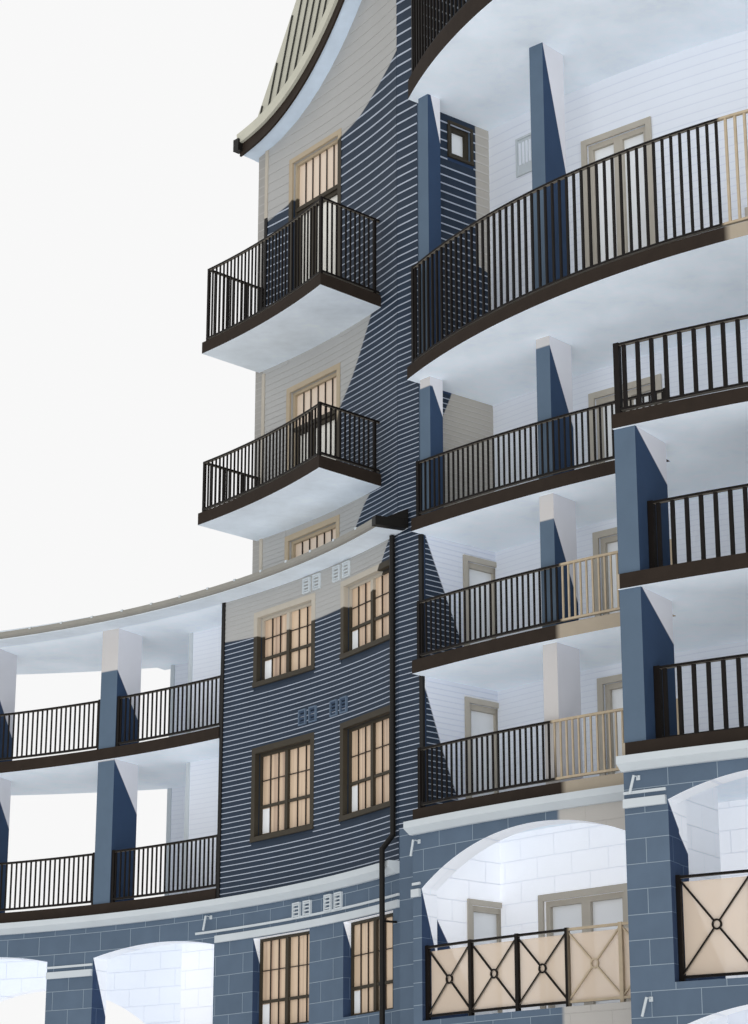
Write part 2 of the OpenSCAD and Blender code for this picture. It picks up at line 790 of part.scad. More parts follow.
module tower_side_wall() {
    color(SIDING) intersection() {
        translate([wing_c[0], wing_c[1], wing_eave_z])
            rotate([0, 0, tower_a1])
                translate([wing_r, 0, 0])
                    cube([wing_depth, wall_t, roof_top_z]);
        under_rake(0);
    }
}

module tower_back_wall() {
    color(SIDING) difference() {
        intersection() {
            ring(wing_c, wing_back_r - wall_t, wing_back_r, parting_angle(wing_back_r), tower_a1,
                wing_eave_z, roof_top_z);
            under_rake(0);
        }
        for (z = tower_back_windows)
            radial_box(wing_c, (wing_a0 + tower_a1) / 2 + 2.4, wing_back_r - wall_t - cut, wing_back_r + cut, window_w,
                z[0], z[1]);
    }
}

// The tower's two upper floors, level with its balconies
module tower_floors() {
    r = [wing_r + wall_t, wing_back_r - wall_t];
    color(WHITE) for (z = tower_decks)
        translate([0, 0, z - deck_t])
            linear_extrude(deck_t)
                polygon(concat(
                    arc_points(wing_c, r[0], joint_angle(r[0]), tower_a1 - angle_width(0, r[0]), 40),
                    arc_points(wing_c, r[1], tower_a1 - angle_width(0, r[1]), joint_angle(r[1]), 40)));
}

// A point on the line of a balcony's side, 0 right or 1 left, drawn in by g
function balcony_side(side, g) =
    polar(wing_c, wing_r - balcony_out, balcony_a[side])
    + (side == 0 ? g : -g) * heading(balcony_side_a + 90);

// A balcony's edge from wall to wall, drawn in by g: two parallel sides and a curved front
function balcony_edge(g) =
    let(
        u = heading(balcony_side_a),
        right = balcony_side(0, g),
        left = balcony_side(1, g),
        r = wing_r - balcony_out + g,
        a0 = angle_of(wing_c, line_meets(wing_c, r, right, u)),
        a1 = angle_of(wing_c, line_meets(wing_c, r, left, u)))
    concat(
        [line_meets(wing_c, wing_r, right, u)],
        arc_points(wing_c, r, a0, a1),
        [line_meets(wing_c, wing_r, left, u)]);

module balcony_deck(z) {
    edge = balcony_edge(0);
    wall_line = arc_points(wing_c, wing_r, angle_of(wing_c, edge[len(edge) - 1]),
        angle_of(wing_c, edge[0]));
    color(FASCIA) translate([0, 0, z - deck_t])
        linear_extrude(deck_t)
            polygon(concat(edge, [for (i = [1:len(wall_line) - 2]) wall_line[i]]));
}

// A balcony's railing: a curved front, and straight returns to the wall
module balcony_rail(z, h) {
    top = z + h;
    bar = concat(balcony_edge(rail_inset), reversed(balcony_edge(rail_inset + rail_w)));
    color(RAIL) union() {
        for (z0 = [z + rail_gap, top - rail_bar_h])
            translate([0, 0, z0])
                linear_extrude(rail_bar_h)
                    polygon(bar);
        balcony_balusters(z, top);
    }
}

module balcony_balusters(z, top) {
    r = wing_r - balcony_out + rail_inset + rail_w / 2;
    z0 = z + rail_gap + rail_bar_h / 2;
    z1 = top - rail_bar_h / 2;
    inset_a = (rail_inset + rail_w / 2) / r * 180 / PI;
    a0 = balcony_a[0] + inset_a;
    a1 = balcony_a[1] - inset_a;
    count = floor((a1 - a0) * PI / 180 * r / baluster_pitch);
    for (i = [1:count - 1])
        radial_box(wing_c, a0 + i * (a1 - a0) / count, r - baluster_t / 2, r + baluster_t / 2,
            baluster_t, z0, z1);
    for (side = [[balcony_a[0], 1], [balcony_a[1], -1]]) {
        front = polar(wing_c, wing_r - balcony_out, side[0]);
        translate([front[0], front[1], 0])
            rotate([0, 0, balcony_side_a])
                translate([0, side[1] * (rail_inset + rail_w / 2), 0])
                    return_balusters(z, z0, z1, top);
    }
}

// Posts and balusters of one straight return, from the front corner towards the wall
module return_balusters(z, z0, z1, top) {
    count = floor(balcony_out / baluster_pitch);
    for (x = [rail_inset + rail_w / 2, balcony_out - rail_w])
        translate([x - rail_w / 2, -rail_w / 2, z])
            cube([rail_w, rail_w, top - z]);
    for (i = [2:count - 1])
        translate([i * baluster_pitch - baluster_t / 2, -baluster_t / 2, z0])
            cube([baluster_t, baluster_t, z1 - z0]);
}

// The white soffit and the dark board of the sweeping eave
module tower_eave() {
    out = tower_roof_out + 30;
    below = tower_eave_z - wall_t * 6;
    color(WHITE) difference() {
        intersection() {
            union() {
                ring(wing_c, wing_r - out, wing_r + wall_t, wing_a0, tower_a1 + 1.2,
                    below, roof_top_z);
                translate([wing_c[0], wing_c[1], below])
                    rotate([0, 0, tower_a1])
                        translate([wing_r, 0, 0])
                            cube([wing_depth, out, roof_top_z - below]);
            }
            under_rake(eave_t);
        }
        under_rake(0);
    }
}

// The steep roof over the tower, a shell with a flat top
module tower_roof() {
    color(ROOF) difference() {
        intersection() {
            ring_section(wing_c, wing_a0 - 0.6, tower_a1 + 1.1, tower_roof_outline(0));
            tower_hip(0);
        }
        intersection() {
            ring_section(wing_c, wing_a0 - 1, tower_a1 + 2, tower_roof_outline(roof_t));
            tower_hip(roof_t);
        }
        under_rake(eave_t);
        right_of_corner();
    }
}

tower_roof_out = 420;
eave_t = 260;
hip_tilt = 13;

// The roof's outline as [radius, height], drawn in by t
function tower_roof_outline(t) = [
    [wing_r - tower_roof_out + t, tower_eave_z - 500 - t],
    [wing_back_r + tower_roof_out - t, tower_eave_z - 500 - t],
    [wing_back_r + tower_roof_out - roof_batter - t, roof_top_z - t],
    [wing_r - tower_roof_out + roof_batter + t, roof_top_z - t]];

// Everything inside the roof's slanting left face, drawn in by t
module tower_hip(t) {
    far = 1.5 * wing_r;
    foot = polar(wing_c, wing_r, tower_a1 + 1.1);
    translate([foot[0], foot[1], tower_eave_z])
        rotate([0, 0, tower_a1])
            rotate([hip_tilt, 0, 0])
                translate([-far / 2, -far - t, -far / 2])
                    cube([far, far, far]);
}

// Loggia house

// The flank between tower and loggias, with its return at the front
module corner_wall() {
    z1 = loggia_top_z;
    color(SIDING) translate([corner[0], corner[1], 0])
        rotate([0, 0, inward_a]) {
            difference() {
                translate([0, -side_line, 0])
                    cube([loggia_depth, wall_t, z1]);
                for (z = flank_door_floors)
                    flank_opening(flank_door_x, flank_door_w, z, z + glazed_h, wall_t + 2 * cut);
                flank_opening(flank_window_x, flank_window[0], flank_window[1], flank_window[2],
                    wall_t + 2 * cut);
            }
            translate([0, -side_line + wall_t, 0])
                cube([wall_t, side_line - wall_t, z1]);
        }
}

flank_door_floors = [floor_1, deck_top(0), deck_top(1)];

// A box of depth d centred in the flank, in the flank's own frame
module flank_opening(x, w, z0, z1, d) {
    translate([x - w / 2, -side_line + (wall_t - d) / 2, z0])
        cube([w, d, z1 - z0]);
}

module loggia_back_wall() {
    color(WHITE) difference() {
        ring(loggia_c, loggia_wall_r - wall_t, loggia_wall_r, loggia_a0, party_a - 0.7, 0,
            loggia_top_z);
        for (i = [0:6])
            loggia_openings(i, loggia_wall_r - wall_t - cut, loggia_wall_r + cut);
    }
}

// The floors of the loggia house's storeys, from the ground up
loggia_floors = [deck_t, floor_1, deck_top(0), deck_top(1), deck_top(2), deck_top(3), deck_top(4)];

// Doors and windows of storey i in the loggias' back wall, as boxes between two radii: a glazed
// door in the loggia, wide behind the great arches, and a door and a window in the bay
module loggia_openings(i, r0, r1) {
    z = loggia_floors[i];
    wide = i < 2;
    radial_box(loggia_c, wide ? wide_glazed_a : glazed_a, r0, r1, wide ? wide_glazed_w : glazed_w,
        z, z + (i == 5 ? high_glazed_h : glazed_h));
    radial_box(loggia_c, bay_door_a, r0, r1, door_w, z, z + door_h);
    radial_box(loggia_c, bay_window_a, r0, r1, loggia_window_w, z + loggia_sill_h, z + door_h);
}

wide_glazed_a = 225.6;
glazed_a = 229.1;
bay_door_a = 238;
bay_window_a = 243;

function deck_top(i) = loggia_decks[i] + (i == 4 ? top_deck_t : deck_t);

module party_wall() {
    t = wall_t;
    color(WHITE) {
        translate([loggia_c[0], loggia_c[1], 0])
            rotate([0, 0, party_a])
                translate([house_back_r, 0, 0])
                    cube([bay_r - house_back_r, t, loggia_decks[3]]);
        translate([loggia_c[0], loggia_c[1], loggia_decks[3]])
            rotate([0, 0, party_a])
                translate([house_back_r, 0, 0])
                    cube([loggia_r + 400 - house_back_r, t, loggia_top_z - loggia_decks[3]]);
    }
}

module loggia_house_back() {
    color(SIDING) difference() {
        union() {
            ring(loggia_c, house_back_r, house_back_r + wall_t, loggia_a0, party_a, 0,
                loggia_top_z);
            corner_strip(house_back_r, house_back_r + wall_t, 0, loggia_top_z);
        }
        for (z = loggia_floors)
            for (a = [226, 234, 242])
                radial_box(loggia_c, a, house_back_r - cut, house_back_r + wall_t + cut,
                    back_window_w, z + back_sill_h, z + door_h);
    }
}

// A deck with the bowed edge, over loggias and bay, and the floor behind the back wall
module common_deck(i) {
    z = loggia_decks[i];
    color(FASCIA) {
        translate([0, 0, z])
            linear_extrude(deck_t)
                polygon(concat(
                    arc_points(loggia_c, loggia_r, loggia_a0, bay_a0, 48),
                    arc_points(loggia_c, bay_r, bay_a0, party_a, 48),
                    arc_points(loggia_c, loggia_wall_r, party_a, loggia_a0, 60)));
        house_floor(z, z + deck_t);
    }
}

// A deck whose edge sweeps out on a circle of its own
module sweeping_deck(i, sweep, t) {
    z = loggia_decks[i];
    a = sweep_angles(sweep);
    color(FASCIA) {
        translate([0, 0, z])
            linear_extrude(t)
                polygon(concat(
                    arc_points(sweep[0], sweep[1], a[0], a[1], 60),
                    reversed(arc_points(loggia_c, loggia_wall_r, loggia_a0, party_a, 60))));
        house_floor(z, z + t);
    }
}

// The angles at which a sweeping edge begins, at the tower, and ends, at the party wall
function sweep_angles(sweep) = [
    for (a = [loggia_a0, party_a])
        360 + angle_of(sweep[0], line_meets(sweep[0], sweep[1], loggia_c, heading(a)))];

// A column of the loggias, set back from the common deck's edge
module loggia_column(a, size, setback, z0, z1) {
    radial_box(loggia_c, a, loggia_r - setback - size[1], loggia_r - setback, size[0], z0, z1);
}

module loggia_columns() {
    tops = concat([for (i = [1:4]) loggia_decks[i]], [loggia_top_z]);
    color(COLUMN) for (i = [0:4]) {
        loggia_column(loggia_column_a, loggia_column, column_setback[0], deck_top(i), tops[i]);
        if (i == 2 || i == 3)
            loggia_column(loggia_a0 + 0.7, corner_column, column_setback[1], deck_top(i), tops[i]);
    }
}

bay_columns_a = [bay_a0 + 0.45, bay_a0 + 6.9, party_a - 2.2];

module bay_columns() {
    color(COLUMN) for (a = bay_columns_a)
        for (i = [0, 1])
            radial_box(loggia_c, a, bay_r - column_setback[2] - bay_column[1],
                bay_r - column_setback[2], bay_column[0], deck_top(i), loggia_decks[i + 1]);
}

module loggia_rail(i) {
    r = loggia_r - rail_inset - rail_w / 2;
    curved_rail(loggia_c, r, loggia_a0 + 0.3, bay_a0 - 0.2, deck_top(i), rail_h);
}

module sweeping_rail(i, sweep) {
    a = sweep_angles(sweep);
    curved_rail(sweep[0], sweep[1] - rail_inset - bar_width(coarse[0]) / 2, a[0] + 0.5, a[1] - 1.6,
        deck_top(i), sweep_rail_h, coarse[0]);
}

// A bay railing between its columns, or straight across where the columns end
module bay_rail(i) {
    between = i < 2;
    r = bay_r - (between ? bay_rail_inset : rail_inset) - bar_width(coarse[1]) / 2;
    half = angle_width(bay_column[0] / 2 + post_width(coarse[1]) / 2, r);
    z = deck_top(i);
    if (between)
        for (k = [0, 1])
            curved_rail(loggia_c, r, bay_columns_a[k] + half, bay_columns_a[k + 1] - half, z,
                bay_rail_h, coarse[1]);
    else
        curved_rail(loggia_c, r, bay_a0 + 0.2, party_a - 0.5, z, bay_rail_h, coarse[1]);
}

// A railing with crossed bars and rings in its panels
module arch_rail(c, r, a0, a1, z, h, panels) {
    step = (a1 - a0) / panels;
    w = step * PI / 180 * r;
    top = z + h;
    foot = z + rail_gap;
    color(RAIL) union() {
        ring(c, r - rail_w / 2, r + rail_w / 2, a0, a1, top - rail_bar_h, top);
        ring(c, r - rail_w / 2, r + rail_w / 2, a0, a1, foot, foot + rail_bar_h);
        for (i = [0:panels])
            rail_post(c, a0 + i * step, r, z, top);
        for (i = [0:panels - 1])
            translate([c[0], c[1], (foot + top) / 2])
                rotate([0, 0, a0 + (i + 0.5) * step])
                    translate([r * cos(step / 2), 0, 0])
                        crossed_panel(w, top - foot, rail_ring_r);
    }
}

// Two crossed bars and a ring, standing in the plane across X
module crossed_panel(w, h, ring_r) {
    t = baluster_t - 2;
    slope = atan2(h - 2 * rail_bar_h, w);
    run = norm([h - 2 * rail_bar_h, w]);
    rotate([0, 90, 0])
        difference() {
            cylinder(r = ring_r, h = t, center = true);
            cylinder(r = ring_r - t, h = 2 * t, center = true);
        }
    for (s = [-1, 1])
        rotate([s * slope, 0, 0])
            difference() {
                cube([t, run, t], center = true);
                cube([2 * t, 2 * ring_r - t, 2 * t], center = true);
            }
}

// The railing of one arch of width w, centred on the angle a, at the radius r
module railing_in_arch(a, r, w, h, panels) {
    half = asin(w / 2 / r) - angle_width(post_width(1) / 2, r);
    arch_rail(loggia_c, r, a - half, a + half, floor_1, h, panels);
}

module arch_rail_loggia() {
    railing_in_arch((loggia_a0 + bay_a0) / 2, loggia_r - rail_inset - rail_w, great_arch_w,
        arch_rail_h[0], 5);
}

module arch_rail_bay() {
    railing_in_arch(bay_arch_a, bay_r - block_t / 2, bay_arch_w, arch_rail_h[1], 3);
}

// The steep roof over the loggia house, a shell with a flat top
module loggia_roof() {
    color(ROOF) {
        ring_section(loggia_c, loggia_a0, party_a, roof_section());
        translate([loggia_c[0], loggia_c[1], 0])
            rotate([0, 0, loggia_a0])
                rotate([90, 0, 0])
                    linear_extrude(side_line)
                        polygon(roof_section());
        translate([loggia_c[0], loggia_c[1], 0])
            rotate([0, 0, party_a])
                rotate([90, 0, 0])
                    linear_extrude(wall_t)
                        polygon(roof_outline());
    }
}

roof_out = 900;
roof_batter = 1300;
roof_kerb = 300;

// The roof's outer outline, as [radius, height]
function roof_outline() = [
    [house_back_r - 400, loggia_top_z], [loggia_r + roof_out, loggia_top_z],
    [loggia_r + roof_out, loggia_top_z + roof_kerb],
    [loggia_r + roof_out - roof_batter, roof_top_z],
    [house_back_r - 400 + roof_batter, roof_top_z],
    [house_back_r - 400, loggia_top_z + roof_kerb]];

// The same as a shell of thickness roof_t, open below between the walls
function roof_section() = [
    [house_back_r - 400, loggia_top_z], [house_back_r + wall_t, loggia_top_z],
    [house_back_r + wall_t + 500, roof_top_z - roof_t - 200],
    [house_back_r + 900, roof_top_z - roof_t],
    [loggia_r + roof_out - roof_batter - roof_t, roof_top_z - roof_t],
    [loggia_r + roof_out - roof_t, loggia_top_z + roof_kerb],
    [loggia_wall_r - wall_t, loggia_top_z + roof_kerb],
    [loggia_wall_r - wall_t, loggia_top_z], [loggia_r + roof_out, loggia_top_z],
    [loggia_r + roof_out, loggia_top_z + roof_kerb],
    [loggia_r + roof_out - roof_batter, roof_top_z],
    [house_back_r - 400 + roof_batter, roof_top_z],
    [house_back_r - 400, loggia_top_z + roof_kerb]];

// The downpipe beside the corner: it steps out over the cornice and runs on to the ground
module downpipe() {
    bend = wing_floor_2 + 250;
    lap = pipe_r * 0.6;
    upper = pipe_point(pipe_wall_gap);
    lower = pipe_point(cornice_out + pipe_wall_gap);
    color(PIPE) union() {
        translate([upper[0], upper[1], bend - lap])
            cylinder(r = pipe_r, h = wing_eave_z - 20 - bend + lap);
        translate([lower[0], lower[1], 0])
            cylinder(r = pipe_r, h = bend - pipe_drop + lap);
        sloping_pipe(upper, bend, lower, bend - pipe_drop);
        for (z = pipe_clips_z)
            if (z > bend)
                pipe_clip(upper, pipe_wall_gap, z);
            else
                pipe_clip(lower, cornice_out + pipe_wall_gap, z);
    }
}

// Where the pipe stands, a gap g clear of the wall
function pipe_point(g) = polar(wing_c, wing_r - pipe_r - g, wing_a0 + 0.35);

// A length of pipe from the point p at height pz down to the point q at height qz
module sloping_pipe(p, pz, q, qz) {
    run = norm([q[0] - p[0], q[1] - p[1]]);
    translate([p[0], p[1], pz])
        rotate([0, 0, angle_of(p, q)])
            rotate([0, 180 - atan2(run, pz - qz), 0])
                cylinder(r = pipe_r, h = norm([run, pz - qz]));
}

// A bracket from the pipe back to the wall
module pipe_clip(p, gap, z) {
    translate([p[0], p[1], z])
        rotate([0, 0, wing_a0 + 0.35])
            translate([0, -20, -20])
                cube([gap + pipe_r, 40, 40]);
}

// Glass and doors

module pane(c, a, r, w, z0, z1) {
    radial_box(c, a, r - glass_t / 2, r + glass_t / 2, w, z0, z1);
}

module wing_glass() {
    color(GLASS) for (a = window_a) {
        for (z = [ground_window_z, podium_window_z])
            pane(wing_c, a, wing_r + block_t / 2, window_w, z[0], z[1]);
        for (z = [lower_window_z, upper_window_z])
            pane(wing_c, a, wing_r + wall_t / 2, window_w, z[0], z[1]);
    }
}

module tower_glass() {
    r = wing_r + wall_t / 2;
    color(GLASS) {
        pane(wing_c, tower_door_a, r, tower_door_w, low_light_z, tower_heads[0]);
        for (i = [0, 1])
            pane(wing_c, tower_door_a, r, tower_door_w, tower_decks[i], tower_heads[i + 1]);
    }
}

module loggia_doors() {
    r = loggia_wall_r - wall_t / 2;
    color(WHITE) {
        for (i = [0:6])
            loggia_openings(i, r - leaf_t / 2, r + leaf_t / 2);
        translate([corner[0], corner[1], 0])
            rotate([0, 0, inward_a]) {
                for (z = flank_door_floors)
                    flank_opening(flank_door_x, flank_door_w, z, z + glazed_h, leaf_t);
                flank_opening(flank_window_x, flank_window[0], flank_window[1], flank_window[2],
                    leaf_t);
            }
    }
}

leaf_t = 50;

podium_wall_wing();
podium_wall_gallery();
podium_wall_loggia();
podium_wall_bay();
podium_inner_wall();
podium_back_wall();
podium_cornice();
string_course();
ground_floor();
podium_floor();
wing_wall();
wing_back_wall();
wing_floors();
gallery_back_wall();
gallery_deck(wing_floor_2, wall_t, 0);  // gallery_deck_lower
gallery_deck(wing_floor_3, 0, gallery_taper);  // gallery_deck_upper
gallery_columns();
gallery_rail(wing_floor_2);  // gallery_rail_lower
gallery_rail(wing_floor_3);  // gallery_rail_upper
wing_eave();
wing_gutter();
wing_roof();
tower_wall();
tower_side_wall();
tower_back_wall();
tower_floors();
balcony_deck(tower_decks[0]);  // balcony_deck_lower
balcony_deck(tower_decks[1]);  // balcony_deck_upper
balcony_rail(tower_decks[0], rail_h);  // balcony_rail_lower
balcony_rail(tower_decks[1], high_rail_h);  // balcony_rail_upper
tower_eave();
tower_roof();
corner_wall();
loggia_back_wall();
party_wall();
loggia_house_back();
common_deck(0);  // loggia_deck_1
common_deck(1);  // loggia_deck_2
common_deck(2);  // loggia_deck_3
sweeping_deck(3, sweep_4, deck_t);  // loggia_deck_4
sweeping_deck(4, sweep_5, top_deck_t);  // loggia_deck_5
loggia_columns();
loggia_rail(0);  // loggia_rail_1
loggia_rail(1);  // loggia_rail_2
loggia_rail(2);  // loggia_rail_3
sweeping_rail(3, sweep_4);  // loggia_rail_4
sweeping_rail(4, sweep_5);  // loggia_rail_5
bay_columns();
bay_rail(0);  // bay_rail_1
bay_rail(1);  // bay_rail_2
bay_rail(2);  // bay_rail_3
arch_rail_loggia();
arch_rail_bay();
loggia_roof();
downpipe();
wing_glass();
tower_glass();
loggia_doors();
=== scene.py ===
"""Looks of the curved apartment block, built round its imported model.

Everything is in metres in the model's own frame: +Z up, front towards -Y, the origin on the ground
where the two curved fronts meet. Angles round the two centres are in degrees, as in the part.
"""
import math

import bmesh
import bpy
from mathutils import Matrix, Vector


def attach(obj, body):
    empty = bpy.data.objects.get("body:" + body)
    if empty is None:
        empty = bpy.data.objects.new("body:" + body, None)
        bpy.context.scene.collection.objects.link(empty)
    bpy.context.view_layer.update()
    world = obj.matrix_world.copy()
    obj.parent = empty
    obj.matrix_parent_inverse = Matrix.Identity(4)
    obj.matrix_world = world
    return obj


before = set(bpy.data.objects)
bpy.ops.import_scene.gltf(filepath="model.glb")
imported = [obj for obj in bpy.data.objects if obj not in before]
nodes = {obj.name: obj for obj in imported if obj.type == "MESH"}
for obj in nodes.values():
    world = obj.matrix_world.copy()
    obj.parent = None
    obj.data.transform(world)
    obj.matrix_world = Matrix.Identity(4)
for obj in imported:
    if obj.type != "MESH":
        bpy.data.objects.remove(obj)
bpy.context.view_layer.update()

# Plan and levels, as in the part

WING_R, WING_A0, SIDING_A1, TOWER_A1 = 21.0, 27.3, 45.4, 41.9
ROOMS_A1, STEP_A, GALLERY_DEPTH, SHALLOW_DEPTH, WING_DEPTH = 57.7, 51.9, 3.5, 1.35, 8.5
LOGGIA_R, LOGGIA_A0, BAY_A0, PARTY_A, LOGGIA_DEPTH, BAY_OUT = 25.0, 220.0, 234.7, 250.0, 2.3, 2.15
WING_FLOOR_2, WING_FLOOR_3, WING_EAVE_Z, WING_EAVE_OUT, WING_ROOF_T = 9.45, 13.05, 15.9, 0.6, 0.43
TOWER_DECKS = (17.4, 21.45)
LOGGIA_DECKS = (9.78, 12.76, 15.71, 18.96, 25.4)
LOGGIA_TOP_Z, TOWER_EAVE_Z, EAVE_RISE, EAVE_START, ROOF_TOP_Z = 28.9, 26.75, 4.2, 0.25, 33.2
LOGGIA_FLOORS = (0.27, 6.0, 10.05, 13.03, 15.98, 19.23, 25.85)
WIDE_GLAZED_STOREYS, HIGH_GLAZED_STOREY = (0, 1), 5
WALL_T, BLOCK_T, DECK_T, TOP_DECK_T = 0.3, 0.44, 0.27, 0.45
WINDOW_W, WINDOW_A = 1.95, (30.7, 39.4)
GROUND_WINDOW, PODIUM_WINDOW = (1.9, 4.4), (6.35, 8.25)
LOWER_WINDOW, UPPER_WINDOW = (10.42, 12.25), (13.85, 15.32)
TOWER_DOOR_W, TOWER_DOOR_A, TOWER_HEADS, LOW_LIGHT_Z = 1.8, 36.7, (16.85, 20.35, 26.05), 16.36
DOOR_W, DOOR_H, LOGGIA_WINDOW_W, LOGGIA_SILL = 1.0, 2.15, 1.7, 0.7
GLAZED_A, GLAZED_W, WIDE_GLAZED_A, WIDE_GLAZED_W = 229.1, 1.5, 225.6, 2.0
GLAZED_H, HIGH_GLAZED_H, BAY_DOOR_A, BAY_WINDOW_A = 2.35, 4.77, 238.0, 243.0
FLANK_DOOR_X, FLANK_DOOR_W, FLANK_DOOR_FLOORS = 1.65, 0.9, (6.0, 10.05, 13.03)
FLANK_WINDOW_X, FLANK_WINDOW_W, FLANK_WINDOW_Z = 1.15, 0.6, (24.45, 25.2)
GREAT_ARCH, BAY_ARCH = (227.35, 5.9, 8.49), (240.65, 4.0, 9.0)
LOGGIA_STEP, BEHIND = Vector((0.25, -0.97)), 0.2


def heading(a):
    return Vector((math.cos(math.radians(a)), math.sin(math.radians(a))))


WING_C = -WING_R * heading(WING_A0) + Vector((0, -BEHIND))
LOGGIA_C = LOGGIA_STEP - LOGGIA_R * heading(LOGGIA_A0)
CORNER = Vector((0, -BEHIND))
INWARD_A = LOGGIA_A0 - 180
SIDE_LINE = (LOGGIA_STEP.x * heading(INWARD_A).y
             - (LOGGIA_STEP.y + BEHIND) * heading(INWARD_A).x)
FLANK = CORNER - SIDE_LINE * heading(INWARD_A + 90)


def deck_top(i):
    return LOGGIA_DECKS[i] + (TOP_DECK_T if i == len(LOGGIA_DECKS) - 1 else DECK_T)


# Camera: a long lens, tipped up from eye height

CAMERA_AT, CAMERA_TILT, SENSOR = (-0.5, -46.2, 1.6), 17.8, 36
FOCAL_PX, PHOTO_HEIGHT_PX, SIGHT = 2350, 1024, 500
camera = bpy.data.objects.new("camera", bpy.data.cameras.new("camera"))
bpy.context.scene.collection.objects.link(camera)
bpy.context.scene.camera = camera
camera.location = CAMERA_AT
camera.rotation_euler = (math.radians(90 + CAMERA_TILT), 0, 0)
camera.data.sensor_width = SENSOR
camera.data.lens = FOCAL_PX / PHOTO_HEIGHT_PX * SENSOR
camera.data.clip_end = SIGHT

# Finishes

SLATE = (0.024, 0.038, 0.062)
# Painted shade: the pale line under each lap board
LAP_SHADOW_LINE = (0.46, 0.51, 0.60)
# Boards and lap lines inside the painted shade zones, drawn pale
SHADE_BOARD = (0.44, 0.44, 0.43)
SHADE_LINE = (0.45, 0.45, 0.44)
WHITE = (0.84, 0.88, 0.95)
# Soffits: pale blue-white, as painted shade of the undersides
SOFFIT = (0.82, 0.895, 0.97)
EAVE_SOFFIT = (0.66, 0.77, 0.90)
BLOCK = (0.108, 0.152, 0.212)
# Side faces of the blockwork, painted deeper as painted shading
BLOCK_DEEP = (0.036, 0.062, 0.125)
JOINT = (0.30, 0.37, 0.44)
COLUMN = (0.105, 0.152, 0.212)
# The columns' narrow sides painted deeper as painted shading, and their painted shade near each
# ceiling, pale on the fronts and white on the sides
COLUMN_DEEP = (0.036, 0.066, 0.128)
COLUMN_PALE = (0.60, 0.58, 0.57)
COLUMN_WHITE = (0.78, 0.78, 0.82)
FASCIA = (0.028, 0.020, 0.015)
# Beige: painted shade on the deck edges
BEIGE = (0.42, 0.36, 0.28)
RAIL = (0.010, 0.008, 0.007)
# The railings' beige undersides and beige zones, both painted shade
RAIL_UNDER_SHADE = (0.36, 0.32, 0.26)
RAIL_BEIGE = (0.50, 0.41, 0.29)
ROOF = (0.55, 0.54, 0.45)
SEAM = (0.05, 0.05, 0.045)
TRIM_DARK = (0.050, 0.042, 0.030)
# Pale trims where they lie in painted shade; also the plain colour of the loggia and flank frames
TRIM_PALE = (0.50, 0.46, 0.39)
PIPE = (0.012, 0.011, 0.010)
PEACH = (0.84, 0.70, 0.56)
# Painted shade and shading: deep joints on side faces, beige and white blockwork, pale joints and
# white arches where they lie in shade
BLOCK_BEIGE = (0.50, 0.48, 0.45)
JOINT_DEEP = (0.10, 0.15, 0.24)
JOINT_PALE = (0.62, 0.66, 0.80)
BLOCK_WHITE = (0.92, 0.94, 0.98)
ARCH_WHITE = (0.90, 0.93, 0.98)
ARCH_JOINT = (0.68, 0.72, 0.82)
SCREED = (0.33, 0.35, 0.38)
TRIM_WHITE = (0.60, 0.65, 0.68)
BLOCK_L, BLOCK_H, MORTAR, FIRST_JOINT = 0.9, 0.42, 0.008, 0.2
DULL = 0.15

# Painted light: how strongly the white faces in the recesses glow, though they are no lamps
RECESS_GLOW, ARCH_GLOW, ARCH_WALL_GLOW = 0.14, 0.13, 0.22


